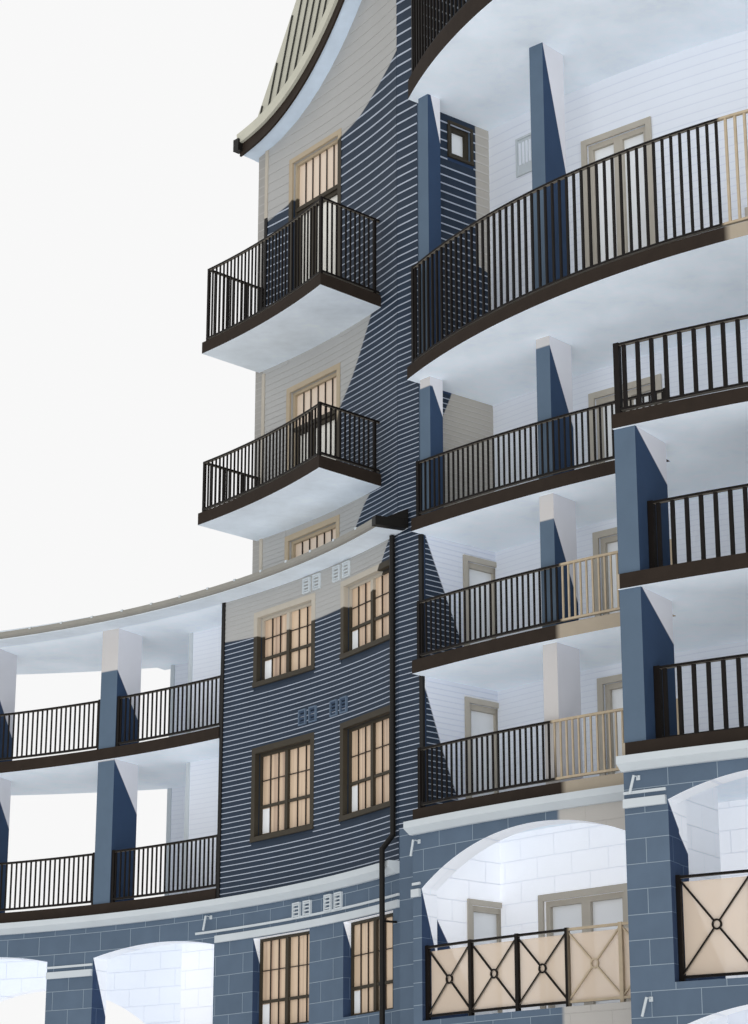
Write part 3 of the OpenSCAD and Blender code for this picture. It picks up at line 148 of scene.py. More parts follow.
class Finish:
    """A procedural material, wired node by node. Its place is the row frame."""

    def __init__(self, name, rough=0.7, gloss=DULL):
        self.material = bpy.data.materials.new(name)
        self.material.use_nodes = True
        self.material.cycles.emission_sampling = "NONE"
        self.tree = self.material.node_tree
        self.shader = self.tree.nodes["Principled BSDF"]
        self.shader.inputs["Roughness"].default_value = rough
        self.shader.inputs["Specular IOR Level"].default_value = gloss
        self.place = self.add("ShaderNodeTexCoord").outputs["Object"]
        self.x, self.y, self.z = self.apart(self.place)

    def add(self, kind):
        return self.tree.nodes.new(kind)

    def join(self, value, socket):
        if isinstance(value, bpy.types.NodeSocket):
            self.tree.links.new(value, socket)
        else:
            if socket.type == "RGBA" and len(value) == 3:
                value = (*value, 1.0)
            socket.default_value = value

    def apart(self, vector):
        parts = self.add("ShaderNodeSeparateXYZ")
        self.join(vector, parts.inputs[0])
        return parts.outputs

    def scale(self, colour, factor):
        node = self.add("ShaderNodeVectorMath")
        node.operation = "SCALE"
        self.join(colour, node.inputs[0])
        self.join(factor, node.inputs["Scale"])
        return node.outputs[0]

    def math(self, operation, *values):
        node = self.add("ShaderNodeMath")
        node.operation = operation
        for value, socket in zip(values, node.inputs):
            self.join(value, socket)
        return node.outputs[0]

    def times(self, a, b):
        return self.math("MULTIPLY", a, b)

    def plus(self, a, b):
        return self.math("ADD", a, b)

    def less(self, a, b):
        return self.math("SUBTRACT", a, b)

    def mix(self, factor, a, b):
        node = self.add("ShaderNodeMix")
        node.data_type = "RGBA"
        self.join(factor, node.inputs["Factor"])
        self.join(a, node.inputs[6])
        self.join(b, node.inputs[7])
        return node.outputs[2]

    def flip(self, value):
        """1 less the value."""
        return self.less(1.0, value)

    def over(self, value, edge, soft=0.02):
        """0 below edge and 1 above, softened over soft."""
        t = self.math("DIVIDE", self.less(value, edge), soft)
        node = self.add("ShaderNodeClamp")
        self.join(self.plus(t, 0.5), node.inputs[0])
        return node.outputs[0]

    def curve(self, value, points):
        """A piecewise straight function of value, through points (value, result)."""
        lo, hi = points[0][0], points[-1][0]
        low, high = min(p[1] for p in points), max(p[1] for p in points)
        span = (high - low) or 1.0
        node = self.add("ShaderNodeValToRGB")
        self.join(self.math("DIVIDE", self.less(value, lo), hi - lo), node.inputs[0])
        stops = node.color_ramp.elements
        while len(stops) < len(points):
            stops.new(0.5)
        for stop, (at, result) in zip(stops, points):
            stop.position = (at - lo) / (hi - lo)
            level = (result - low) / span
            stop.color = (level, level, level, 1)
        return self.math("MULTIPLY_ADD", node.outputs[0], span, low)

    def noise(self, scale, detail=4.0, stretch=(1, 1, 1)):
        node = self.add("ShaderNodeTexNoise")
        mapping = self.add("ShaderNodeMapping")
        self.join(self.place, mapping.inputs[0])
        mapping.inputs["Scale"].default_value = stretch
        self.join(mapping.outputs[0], node.inputs["Vector"])
        node.inputs["Scale"].default_value = scale
        node.inputs["Detail"].default_value = detail
        return node.outputs["Fac"]

    def cloud(self, colour, amount, scale, detail=4.0, stretch=(1, 1, 1)):
        """The colour, clouded lighter and darker by amount."""
        fac = self.math("MULTIPLY_ADD", self.noise(scale, detail, stretch), 2 * amount, 1 - amount)
        return self.scale(colour, fac)

    def round(self, centre):
        """Angle in degrees and radius round a centre, and how far from it in x and y."""
        dx = self.less(self.x, centre.x)
        dy = self.less(self.y, centre.y)
        r = self.math("SQRT", self.math("MULTIPLY_ADD", dx, dx, self.times(dy, dy)))
        a = self.times(self.math("ARCTAN2", dy, dx), 180 / math.pi)
        if centre is LOGGIA_C:
            a = self.plus(a, 360.0)
        return a, r, dx, dy

    def normal(self):
        return self.apart(self.add("ShaderNodeNewGeometry").outputs["True Normal"])

    def looks(self, value):
        """1 on faces for which value, how far they look some way, is near 1."""
        return self.over(value, 0.7, 0.05)

    def underside(self):
        return self.over(self.times(self.normal()[2], -1.0), 0.5, 0.1)

    def facing(self, centre):
        """How far a face looks away from the centre, from -1 to 1, how far left, and how far up."""
        a, r, dx, dy = self.round(centre)
        n = self.normal()
        across = self.plus(self.times(n[0], dx), self.times(n[1], dy))
        along = self.less(self.times(n[1], dx),
                          self.times(n[0], dy))
        return self.math("DIVIDE", across, r), self.math("DIVIDE", along, r), n[2]

    def colour(self, value, glow=0.0):
        """The surface's colour, and how strongly it glows as painted light."""
        self.join(value, self.shader.inputs["Base Color"])
        self.join(value, self.shader.inputs["Emission Color"])
        self.join(glow, self.shader.inputs["Emission Strength"])
        return self

    def relief(self, height, depth=0.004):
        node = self.add("ShaderNodeBump")
        node.inputs["Distance"].default_value = depth
        self.join(height, node.inputs["Height"])
        self.join(node.outputs[0], self.shader.inputs["Normal"])
        return self


# Lap siding: the boards grow a little narrower up to the tower, and wider again above

LAPS = ((9.18, 0.120, -0.0021), (17.9, 0.102, 0.0165))
# Share of each board's height drawn as its pale lower line, the painted shade under the lap
LAP_SHADOW_SHARE = 0.15


def lap_number(z):
    (z0, exposure, growth), (z1, exposure_1, growth_1) = LAPS
    low = math.log(1 + growth * (min(z, z1) - z0) / exposure) / growth
    return low + math.log(1 + growth_1 * max(z - z1, 0.0) / exposure_1) / growth_1


def lap_z(n):
    (z0, exposure, growth), (z1, exposure_1, growth_1) = LAPS
    above = n - lap_number(z1)
    if above < 0:
        return z0 + exposure / growth * (math.exp(growth * n) - 1)
    return z1 + exposure_1 / growth_1 * (math.exp(growth_1 * above) - 1)


def lap_courses(z0, z1):
    """Bottom and top of each board between two heights."""
    first, last = math.floor(lap_number(z0) + 0.02), math.ceil(lap_number(z1) - 0.02)
    return [(max(lap_z(n), z0), min(lap_z(n + 1), z1)) for n in range(first, last)]


def lap_place(f):
    """Where in its board a point is, from 0 at the bottom to 1."""
    (z0, exposure, growth), (z1, exposure_1, growth_1) = LAPS
    below = f.less(f.math("MINIMUM", f.z, z1), z0)
    above = f.math("MAXIMUM", f.less(f.z, z1), 0.0)
    low = f.math("LOGARITHM", f.math("MULTIPLY_ADD", below, growth / exposure, 1.0), math.e)
    high = f.math("LOGARITHM", f.math("MULTIPLY_ADD", above, growth_1 / exposure_1, 1.0), math.e)
    return f.math("FRACT", f.plus(f.math("DIVIDE", low, growth), f.math("DIVIDE", high, growth_1)))


def tower_shade(f):
    """Painted shade, drawn pale, on the tower front: under the eave, and beside the balconies'
    soffits.
    """
    a = f.round(WING_C)[0]
    eave = f.curve(a, [(26.0, 27.3), (28.2, 26.8), (30.0, 26.45), (31.8, 26.13), (33.9, 25.97),
                       (39.5, 25.07), (42.5, 24.85)])
    top = f.over(f.z, eave, 0.04)
    side = f.curve(f.z, [(15.6, 33.6), (16.33, 32.6), (16.94, 31.2), (17.15, 30.4), (17.16, 34.4),
                         (18.9, 34.4), (19.42, 33.95), (19.95, 32.64), (20.42, 31.75),
                         (21.3, 30.2), (21.31, 60.0), (30.0, 60.0)])
    return f.math("MAXIMUM", top, f.over(a, side, 0.15))


def wing_shade(f):
    """Painted shade, drawn pale, under the wing's eave."""
    a = f.round(WING_C)[0]
    edge = f.curve(a, [(27.0, 16.4), (28.6, 15.8), (30.0, 15.1), (31.5, 14.9), (36.8, 14.84),
                       (42.3, 14.9), (46.0, 14.99)])
    return f.over(f.z, edge, 0.03)


def along_flank(f):
    """How far a point lies along the flank, from its front edge."""
    u = heading(INWARD_A)
    return f.plus(f.times(f.x, u.x),
                  f.math("MULTIPLY_ADD", f.y, u.y, -(FLANK.x * u.x + FLANK.y * u.y)))


def flank_shade(f):
    """Painted shade, drawn pale, on the flank, inward of a slanting line on each storey."""
    edge = f.curve(f.z, [(0.0, 1.6), (6.0, 1.6), (8.3, 0.1), (9.6, -0.1), (9.61, 1.2),
                         (10.19, 0.96), (11.33, 0.48), (12.9, -0.1), (12.91, 1.3),
                         (13.67, 1.0), (15.22, 0.28), (15.85, 0.0), (15.86, 0.3), (18.0, 0.4),
                         (19.1, 0.9), (19.11, 1.95), (22.0, 1.95), (22.01, 1.6), (29.0, 1.6)])
    return f.over(along_flank(f), edge, 0.03)


def flank_shade_tone(f, white=(0.80, 0.84, 0.92), beige=(0.50, 0.47, 0.42)):
    """The colour of the flank's painted shade: white under the third loggia deck, beige above it."""
    return f.mix(f.over(f.z, LOGGIA_DECKS[2]), f.cloud(white, 0.04, 1.6), f.cloud(beige, 0.05, 1.6))


def board_finish(name, shade=None, pale=lambda f: f.cloud(SHADE_BOARD, 0.05, 1.6, 5)):
    """Dark boards, painted pale where the shade mask puts painted shade."""
    f = Finish(name, rough=0.55)
    grain = f.cloud(SLATE, 0.22, 3.0, 6, (1, 1, 0.4))
    f.colour(f.mix(shade(f), grain, pale(f)) if shade else grain)
    return f.relief(f.noise(60, 3, (0.25, 0.25, 4)), 0.002).material


def lap_shadow_finish(name, shade=None, pale=lambda f: SHADE_LINE):
    """The boards' lower edges, painted pale as the shade under each lap."""
    f = Finish(name, rough=0.7)
    line = f.cloud(LAP_SHADOW_LINE, 0.12, 2.0)
    return f.colour(f.mix(shade(f), line, pale(f)) if shade else line).material


def siding_finish(name, dark=SLATE, line=LAP_SHADOW_LINE):
    """Boards drawn on a plain wall, for the sides and backs, each with a pale stripe of painted shade
    under its lap.
    """
    f = Finish(name, rough=0.6)
    t = lap_place(f)
    stripe = f.flip(f.over(t, LAP_SHADOW_SHARE, 0.06))
    f.colour(f.mix(stripe, f.cloud(dark, 0.2, 3.0, 6, (1, 1, 0.4)), line))
    return f.relief(f.flip(t), 0.012).material


def soffit_colour(f, base=SOFFIT):
    """Pale blue-white plaster, mottled at two scales; its paleness is painted shade of the undersides.
    """
    return f.cloud(f.cloud(base, 0.15, 1.1, 8, (1, 1, 0.2)), 0.075, 5.0, 8)


def deck_finish(name, beige_from=None, beige_to=BAY_A0 + 0.1, glow=RECESS_GLOW):
    """Dark board round the edge, mottled plaster below, screed on top. The plaster below is painted
    shade drawn pale and glows as painted light; between beige_from and beige_to the edge turns beige
    as painted shade.
    """
    f = Finish(name, rough=0.8)
    edge = f.cloud(FASCIA, 0.25, 4.0, 5)
    if beige_from:
        a = f.round(LOGGIA_C)[0]
        # Painted shade: between the two angles the edge is painted beige
        shade_zone = f.less(f.over(a, beige_from, 0.3), f.over(a, beige_to, 0.02))
        edge = f.mix(shade_zone, edge, f.cloud(BEIGE, 0.08, 3.0))
    below = f.underside()
    above = f.over(f.normal()[2], 0.5, 0.1)
    f.colour(f.mix(above, f.mix(below, edge, soffit_colour(f)), SCREED), f.times(below, glow))
    return f.relief(f.noise(25, 4), 0.003).material


def courses(f, u):
    """Running-bond blocks at u along a wall: each block's own tone, and its joints."""
    place = f.add("ShaderNodeCombineXYZ")
    f.join(u, place.inputs[0])
    f.join(f.z, place.inputs[1])
    bricks = f.add("ShaderNodeTexBrick")
    f.join(place.outputs[0], bricks.inputs["Vector"])
    for name, value in (("Scale", 1.0), ("Mortar Size", MORTAR), ("Mortar Smooth", 0.2),
                        ("Bias", 0.0), ("Brick Width", BLOCK_L), ("Row Height", BLOCK_H),
                        ("Color1", (0.0, 0.0, 0.0, 1)), ("Color2", (0.12, 0.12, 0.12, 1))):
        bricks.inputs[name].default_value = value
    return bricks.outputs["Color"], bricks.outputs["Fac"]


def block_finish(name, centre, front_sign, front_r, jambs, slope, beige_from=None):
    """Blockwork with pale joints, its side faces painted deeper as painted shading. The jambs that
    look right are deep blue below a slanting line and white above it, a painted shadow edge; the
    arches' undersides and the inner faces are painted shade drawn white, and these white faces glow as
    painted light. From beige_from on, the front is painted beige as painted shade."""
    f = Finish(name, rough=0.85)
    a, r = f.round(centre)[:2]
    out, along, up = f.facing(centre)
    front = f.looks(f.math("ABSOLUTE", out))
    arc = f.times(a, math.pi / 180 * front_r)
    tone, joint = courses(f, f.plus(f.times(arc, front), f.times(r, f.flip(front))))
    stone = f.scale(f.cloud(BLOCK, 0.13, 2.2, 7), f.plus(tone, 0.94))
    face = f.mix(front, f.cloud(BLOCK_DEEP, 0.12, 2.2, 7), stone)
    face = f.mix(joint, face, f.mix(front, JOINT_DEEP, JOINT))
    pale = f.mix(f.times(joint, 0.5), f.cloud(ARCH_WHITE, 0.03, 1.0), ARCH_JOINT)
    below = f.over(f.times(up, -1.0), 0.12, 0.05)
    back = f.looks(f.times(out, -front_sign))
    depth = f.times(f.less(front_r, r), front_sign)
    edge = f.less(f.curve(f.z, jambs), f.times(depth, slope))
    jamb = f.times(f.looks(f.times(along, front_sign)), f.over(f.z, edge, 0.03))
    # Painted shade: from beige_from on, the front is painted beige
    if beige_from:
        shade_zone = f.times(f.over(a, beige_from, 0.2), f.looks(f.times(out, front_sign)))
        face = f.mix(shade_zone, face, f.cloud(BLOCK_BEIGE, 0.05, 2.0))
    # Painted shade, white, on undersides, inner faces and jambs above their line; these faces also
    # glow as painted light
    shade_and_glow = f.math("MAXIMUM", f.math("MAXIMUM", below, back), jamb)
    f.colour(f.mix(shade_and_glow, face, pale), f.times(shade_and_glow, ARCH_GLOW))
    return f.relief(f.less(f.times(f.noise(40, 4), 0.4), joint),
                    0.008).material


def inner_finish(name, centre, r, laps_from):
    """White blockwork below a height, and white boards above it; the white is painted shade of the
    recess walls, and the blockwork glows as painted light.
    """
    f = Finish(name, rough=0.8)
    arc = f.times(f.round(centre)[0], math.pi / 180 * r)
    joint = f.times(courses(f, arc)[1], 0.6)
    stripe = f.times(f.flip(f.over(lap_place(f), 0.1, 0.08)), 0.4)
    high = f.over(f.z, laps_from, 0.01)
    line = f.plus(f.times(stripe, high), f.times(joint, f.flip(high)))
    base = f.mix(high, f.cloud(BLOCK_WHITE, 0.03, 0.6), f.cloud(WHITE, 0.05, 0.5, 3))
    f.colour(f.mix(line, base, JOINT_PALE),
             f.math("MULTIPLY_ADD", high, -ARCH_WALL_GLOW, ARCH_WALL_GLOW))
    return f.relief(f.less(f.times(f.noise(30, 4), 0.2), line),
                    0.006).material


def flank_finish(name):
    """Blockwork along the flank, deep blue below its slanting line as painted shading of the side
    face, and white above it as painted shade, which glows as painted light below the first loggia
    deck. Its end towards the street is plain blockwork."""
    f = Finish(name, rough=0.8)
    low = f.flip(f.over(f.z, LOGGIA_DECKS[0], 0.01))
    along = f.plus(along_flank(f), FIRST_JOINT)
    joint = f.times(courses(f, along)[1], low)
    n, u = f.normal(), heading(INWARD_A)
    street = f.looks(f.plus(f.times(n[0], -u.x),
                            f.times(n[1], -u.y)))
    mask = f.times(flank_shade(f), f.flip(street))
    stone = f.mix(street, f.cloud(BLOCK_DEEP, 0.12, 2.2, 7), f.cloud(BLOCK, 0.13, 2.2, 7))
    deep = f.mix(joint, stone, f.mix(street, JOINT_DEEP, JOINT))
    pale = f.mix(f.times(joint, 0.6), flank_shade_tone(f, BLOCK_WHITE), JOINT_PALE)
    f.colour(f.mix(mask, deep, pale),
             f.times(f.times(mask, low), ARCH_WALL_GLOW))
    return f.relief(f.less(f.times(f.noise(30, 4), 0.2), joint),
                    0.006).material


def column_finish(name, centre, front_sign, front_r, tops, slopes):
    """Render, its narrow sides painted deeper as painted shading; near each ceiling, above a slanting
    line, painted shade drawn pale.
    """
    f = Finish(name, rough=0.8)
    r = f.round(centre)[1]
    front = f.looks(f.math("ABSOLUTE", f.facing(centre)[0]))
    face = f.mix(front, f.cloud(COLUMN_DEEP, 0.1, 2.0), f.cloud(COLUMN, 0.1, 2.0, 6))
    depth = f.times(f.less(r, front_r), -front_sign)
    slant = f.times(f.math("MAXIMUM", depth, 0.0), f.curve(f.z, slopes))
    edge = f.less(f.curve(f.z, tops), slant)
    pale = f.mix(front, f.cloud(COLUMN_WHITE, 0.05, 1.2), f.cloud(COLUMN_PALE, 0.05, 1.2))
    f.colour(f.mix(f.over(f.z, edge, 0.03), face, pale))
    return f.relief(f.noise(30, 5), 0.003).material


def rail_finish(name, centre, beige_from=None):
    """Near-black paint, its bars' undersides painted beige as painted shade, and beige from an angle
    that goes by height, also painted shade.
    """
    f = Finish(name, rough=0.5, gloss=0.1)
    a = f.round(centre)[0]
    face = f.mix(f.times(f.underside(), 0.6), RAIL, RAIL_UNDER_SHADE)
    if beige_from:
        face = f.mix(f.over(a, f.curve(f.z, beige_from), 0.15), face, RAIL_BEIGE)
    f.colour(f.cloud(face, 0.2, 6.0))
    return f.relief(f.noise(80, 2), 0.001).material


def plain_finish(name, base, rough=0.6, amount=0.1, scale=3.0):
    f = Finish(name, rough)
    f.colour(f.cloud(base, amount, scale, 6))
    return f.relief(f.noise(40, 4), 0.002).material


# Trims, dark, painted pale where the shade mask puts painted shade
def trim_finish(name, shade, pale=TRIM_PALE):
    f = Finish(name, rough=0.5)
    f.colour(f.mix(shade(f), f.cloud(TRIM_DARK, 0.15, 5.0), f.cloud(pale, 0.06, 5.0)))
    return f.relief(f.noise(50, 3), 0.001).material


def curtain_finish(name, light, dark):
    """A pane with sheer curtains behind it, drawn as soft upright folds."""
    f = Finish(name, rough=0.2, gloss=0.3)
    folds = f.noise(9.0, 3, (1, 1, 0.02))
    broad = f.noise(1.4, 2, (1, 1, 0.05))
    t = f.curve(f.plus(folds, f.times(broad, 0.8)),
                [(0.55, 1.0), (0.78, 0.35), (0.95, 0.0), (1.3, 0.1)])
    f.colour(f.mix(t, light, dark))
    return f.material


def eave_finish(name, base=SOFFIT, end=None):
    """A soffit, whose ends may have a colour of their own."""
    f = Finish(name, rough=0.85)
    under = soffit_colour(f, base)
    if end:
        under = f.mix(f.looks(f.math("ABSOLUTE", f.facing(WING_C)[1])), under, end)
    f.colour(under)
    return f.relief(f.noise(18, 5), 0.004).material


def roof_finish(name):
    """Roofing above and a soffit below; the soffit glows as painted light."""
    f = Finish(name, rough=0.7)
    top = f.over(f.normal()[2], 0.0, 0.2)
    f.colour(f.mix(top, soffit_colour(f), f.cloud(ROOF, 0.08, 1.0)),
             f.math("MULTIPLY_ADD", top, -RECESS_GLOW, RECESS_GLOW))
    return f.relief(f.noise(18, 5), 0.004).material


def pane_finish(name, base):
    f = Finish(name, rough=0.15, gloss=0.3)
    return f.colour(f.cloud(base, 0.05, 0.8)).material


white_plain = Finish("white_plaster", rough=0.75)
white_plain = white_plain.colour(white_plain.cloud(WHITE, 0.05, 0.5, 3)).material
trim_white = plain_finish("white_trim", TRIM_WHITE, amount=0.08, scale=1.5)
back_siding = siding_finish("back_siding")
roof_metal = plain_finish("roof_metal", ROOF, rough=0.45, amount=0.08, scale=1.0)
seam_metal = plain_finish("seam_metal", SEAM, rough=0.5)
fascia_board = plain_finish("fascia_board", FASCIA, amount=0.25)
black_metal = plain_finish("black_metal", PIPE, rough=0.4)
gutter_metal = plain_finish("gutter_metal", (0.30, 0.29, 0.26), rough=0.5)
gutter_pale = plain_finish("gutter_pale", (0.56, 0.55, 0.46), rough=0.5)
# Painted shade: trim_dark is pale in the wing's shade zone
trim_dark = trim_finish("trim_dark", wing_shade)
trim_tower = plain_finish("trim_tower", TRIM_PALE, amount=0.08)
trim_olive = plain_finish("trim_olive", TRIM_DARK, amount=0.12)
# Painted shade: trim_zone is pale in the tower's shade zones
trim_zone = trim_finish("trim_zone", tower_shade, pale=(0.46, 0.38, 0.27))
light_pane = pane_finish("light_pane", (0.80, 0.66, 0.53))
vent_blue = plain_finish("vent_blue", (0.050, 0.080, 0.135), amount=0.12)
vent_line = plain_finish("vent_line", (0.12, 0.17, 0.24), amount=0.12)
panel = Finish("rail_panel", rough=0.3, gloss=0.3)
panel.shader.inputs["Alpha"].default_value = 0.6
panel = panel.colour(panel.cloud(PEACH, 0.04, 1.2)).material
curtain = curtain_finish("curtained_glass", (0.72, 0.55, 0.39), (0.34, 0.22, 0.17))
bright_pane = pane_finish("bright_pane", (0.85, 0.83, 0.76))
white_pane = pane_finish("white_pane", (0.90, 0.92, 0.93))
bar_metal = plain_finish("window_bar", (0.035, 0.025, 0.02), rough=0.4)

# Finishes of the imported pieces. The railings turn beige, as painted shade, at an angle that goes by
# height

RAIL_SHADE_FROM = [(9.0, 228.4), (10.3, 228.4), (12.9, 227.9), (13.0, 228.9), (14.6, 228.9),
                   (15.9, 229.0), (15.91, 252.0), (19.0, 252.0), (19.1, 239.2), (22.0, 239.2),
                   (22.1, 252.0), (30.0, 252.0)]


def steps(end, *levels):
    """A curve that takes each level's value from its height on, up to end."""
    tops = [z - 0.01 for z, _ in levels[1:]] + [end]
    return [(z, value) for (z0, value), z1 in zip(levels, tops) for z in (z0, z1)]


def dress(material, *names):
    """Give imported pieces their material."""
    for name in names:
        slots = nodes[name].data.materials
        if not slots:
            slots.append(material)
        for i in range(len(slots)):
            slots[i] = material


dress(back_siding, "tower_back_wall", "wing_back_wall", "loggia_house_back", "party_wall")
# The tower's side wall: boards painted pale all over as painted shade
dress(siding_finish("side_siding_shade", (0.36, 0.35, 0.33), (0.42, 0.41, 0.39)), "tower_side_wall")
dress(inner_finish("loggia_wall_inner", LOGGIA_C, LOGGIA_R - LOGGIA_DEPTH, LOGGIA_DECKS[0]),
      "loggia_back_wall")
dress(inner_finish("gallery_wall_inner", WING_C, WING_R + GALLERY_DEPTH, WING_FLOOR_2),
      "gallery_back_wall", "podium_inner_wall")
dress(flank_finish("flank_wall"), "corner_wall")
dress(white_plain, "ground_floor", "wing_floors", "podium_floor", "tower_floors")
dress(block_finish("block_wing", WING_C, -1, WING_R, steps(10.0, (0.0, 4.3), (6.01, 8.25)), 2.9),
      "podium_wall_wing", "podium_wall_gallery")
dress(block_finish("block_back", WING_C, 1, WING_R + WING_DEPTH, steps(10.0, (0.0, 0.0)), 0.0),
      "podium_back_wall")
dress(block_finish("block_loggia", LOGGIA_C, 1, LOGGIA_R,
                   steps(10.0, (0.0, 4.3), (6.01, 8.49)), 3.0, 228.6),
      "podium_wall_loggia")
dress(block_finish("block_bay", LOGGIA_C, 1, LOGGIA_R + BAY_OUT,
                   steps(10.0, (0.0, 5.3), (6.01, 9.0)), 1.0), "podium_wall_bay")
dress(trim_white, "podium_cornice", "string_course")
dress(eave_finish("wing_soffit", end=PIPE), "wing_eave")
dress(eave_finish("tower_soffit", EAVE_SOFFIT), "tower_eave")
dress(gutter_metal, "wing_gutter")
dress(roof_finish("gallery_roof"), "wing_roof")
dress(roof_metal, "tower_roof", "loggia_roof")
dress(deck_finish("gallery_deck"), "gallery_deck_lower", "gallery_deck_upper")
dress(deck_finish("balcony_deck", glow=0.0), "balcony_deck_lower", "balcony_deck_upper")
dress(deck_finish("loggia_deck_1", 228.9), "loggia_deck_1")
dress(deck_finish("loggia_deck_2", 228.8), "loggia_deck_2")
dress(deck_finish("loggia_deck_3"), "loggia_deck_3", "loggia_deck_5")
dress(deck_finish("loggia_deck_4", 239.4, PARTY_A + 1), "loggia_deck_4")
dress(rail_finish("rail_gallery", WING_C), "gallery_rail_lower", "gallery_rail_upper")
dress(rail_finish("rail_balcony", WING_C), "balcony_rail_lower", "balcony_rail_upper")
dress(rail_finish("rail_loggia", LOGGIA_C, RAIL_SHADE_FROM),
      *(f"loggia_rail_{i}" for i in range(1, 6)))
dress(rail_finish("rail_bay", LOGGIA_C), "bay_rail_1", "bay_rail_2", "bay_rail_3", "arch_rail_bay")
dress(rail_finish("rail_arch", LOGGIA_C, [(0.0, 228.8), (9.0, 228.8)]), "arch_rail_loggia")
dress(column_finish("column_gallery", WING_C, -1, WING_R,
                    steps(16.0, (9.0, 12.76), (13.01, 14.9)), [(9.0, 1.35), (16.0, 1.36)]),
      "gallery_columns")
dress(column_finish("column_loggia", LOGGIA_C, 1, LOGGIA_R - 0.2,
                    steps(30.0, (9.0, 9.0), (12.91, 15.2), (15.81, 18.76), (19.11, 25.45),
                          (25.61, 28.8)),
                    steps(30.0, (9.0, 2.2), (19.21, 4.0))), "loggia_columns")
dress(column_finish("column_bay", LOGGIA_C, 1, LOGGIA_R + BAY_OUT - 0.06,
                    steps(16.0, (9.0, 12.8), (12.91, 15.75)), [(9.0, 0.72), (16.0, 0.73)]),
      "bay_columns")
dress(black_metal, "downpipe")
dress(curtain, "wing_glass")
dress(bright_pane, "tower_glass")
dress(white_pane, "loggia_doors")

# Building pieces

LIP, CASING, CASING_OUT, PANE_OUT, TUBE_SIDES = 0.016, 0.13, 0.05, 0.015, 10


class Spot:
    """A place on a curved wall: p(u, out, z) is u to the right, out of the wall, at height z."""

    def __init__(self, centre, r, a, sign):
        h = heading(a)
        self.origin = centre + h * r
        self.out = h * sign
        self.right = Vector((-h.y, h.x)) * sign

    def p(self, u, out, z):
        q = self.origin + self.right * u + self.out * out
        return Vector((q.x, q.y, z))


class Line(Spot):
    """The same on a flat wall that starts at a point and runs along a direction."""

    def __init__(self, origin, along, out):
        self.origin, self.right, self.out = origin, along, out


class Piece:
    """Collects closed solids into one mesh."""

    def __init__(self, name, *materials):
        self.name, self.materials = name, materials
        self.mesh = bmesh.new()

    def sweep(self, loops, faces=None):
        """A closed solid through loops of points; faces gives a material number for each side."""
        rings = [[self.mesh.verts.new(p) for p in loop] for loop in loops]
        count = len(rings[0])
        for a, b in zip(rings, rings[1:]):
            for i in range(count):
                j = (i + 1) % count
                face = self.mesh.faces.new((a[i], a[j], b[j], b[i]))
                face.material_index = faces[i] if faces else 0
        for ring, turn in ((rings[0], -1), (rings[-1], 1)):
            face = self.mesh.faces.new(ring[::turn])
            face.material_index = faces[-1] if faces else 0

    def box(self, spot, u, out, z, m=0):
        loops = [[spot.p(uu, oo, zz) for oo, zz in
                  ((out[0], z[0]), (out[1], z[0]), (out[1], z[1]), (out[0], z[1]))] for uu in u]
        self.sweep(loops, [m] * 4)

    def tube(self, points, r):
        """A round bar along points."""
        loops = []
        for i, p in enumerate(points):
            ahead = (points[min(i + 1, len(points) - 1)] - points[max(i - 1, 0)]).normalized()
            side = ahead.cross(Vector((0, 0, 1)))
            side = side.normalized() if side.length > 1e-3 else Vector((1, 0, 0))
            up = side.cross(ahead)
            loops.append([p + r * (math.cos(t) * side + math.sin(t) * up) for t in
                          (2 * math.pi * k / TUBE_SIDES for k in range(TUBE_SIDES))])
        self.sweep(loops)

    def done(self, bevel=0.0):
        """Put the piece into the scene, its edges rounded by bevel."""
        bmesh.ops.remove_doubles(self.mesh, verts=self.mesh.verts[:], dist=1e-5)
        bmesh.ops.dissolve_degenerate(self.mesh, edges=self.mesh.edges[:], dist=1e-5)
        bmesh.ops.recalc_face_normals(self.mesh, faces=self.mesh.faces[:])
        data = bpy.data.meshes.new(self.name)
        self.mesh.to_mesh(data)
        self.mesh.free()
        obj = bpy.data.objects.new(self.name, data)
        bpy.context.scene.collection.objects.link(obj)
        for material in self.materials:
            data.materials.append(material)
        if bevel:
            edge = obj.modifiers.new("edge", "BEVEL")
            edge.width = bevel
            edge.segments = 2
            edge.limit_method = "ANGLE"
        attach(obj, "root")
        return obj


def free_spans(u0, u1, z0, z1, holes):
    """The parts of u0..u1 that no hole takes at a board from z0 to z1."""
    spans = [(u0, u1)]
    for h0, h1, hz0, hz1 in holes:
        if min(z1, hz1) - max(z0, hz0) <= 0.5 * (z1 - z0):
            continue
        cut = []
        for s0, s1 in spans:
            if h1 <= s0 or h0 >= s1:
                cut.append((s0, s1))
                continue
            if h0 > s0:
                cut.append((s0, h0))
            if h1 < s1:
                cut.append((h1, s1))
        spans = cut
    return spans


def lap_wall(name, place, u0, u1, z0, z1, holes, step, finishes, roof=None):
    """Lapped boards on a wall: place(u, out, z) puts a point, roof(u) cuts the boards off."""
    piece = Piece(name, *finishes)
    for zb, zt in lap_courses(z0, z1):
        zl = zb + LAP_SHADOW_SHARE * (zt - zb)
        section = ((0.0, zb), (LIP, zb), (LIP * 0.92, zl), (0.006, zt), (0.0, zt))
        for s0, s1 in free_spans(u0, u1, zb, zt, holes):
            count = max(1, math.ceil((s1 - s0) / step))
            stations = [s0 + (s1 - s0) * i / count for i in range(count + 1)]
            if roof:
                stations = [u for u in stations if roof(u) > zl]
            if len(stations) < 2:
                continue
            loops = [[place(u, out, min(z, roof(u)) if roof else z) for out, z in section]
                     for u in stations]
            # The underside and lowest strip of each board take the second finish, the lap's painted
            # shade line
            piece.sweep(loops, [1, 1, 0, 0, 0])
    return piece.done()


def wing_spot(a, out=0.0):
    return Spot(WING_C, WING_R - out, a, -1)


def on_wing(a, out, z):
    return wing_spot(a, out).p(0, 0, z)


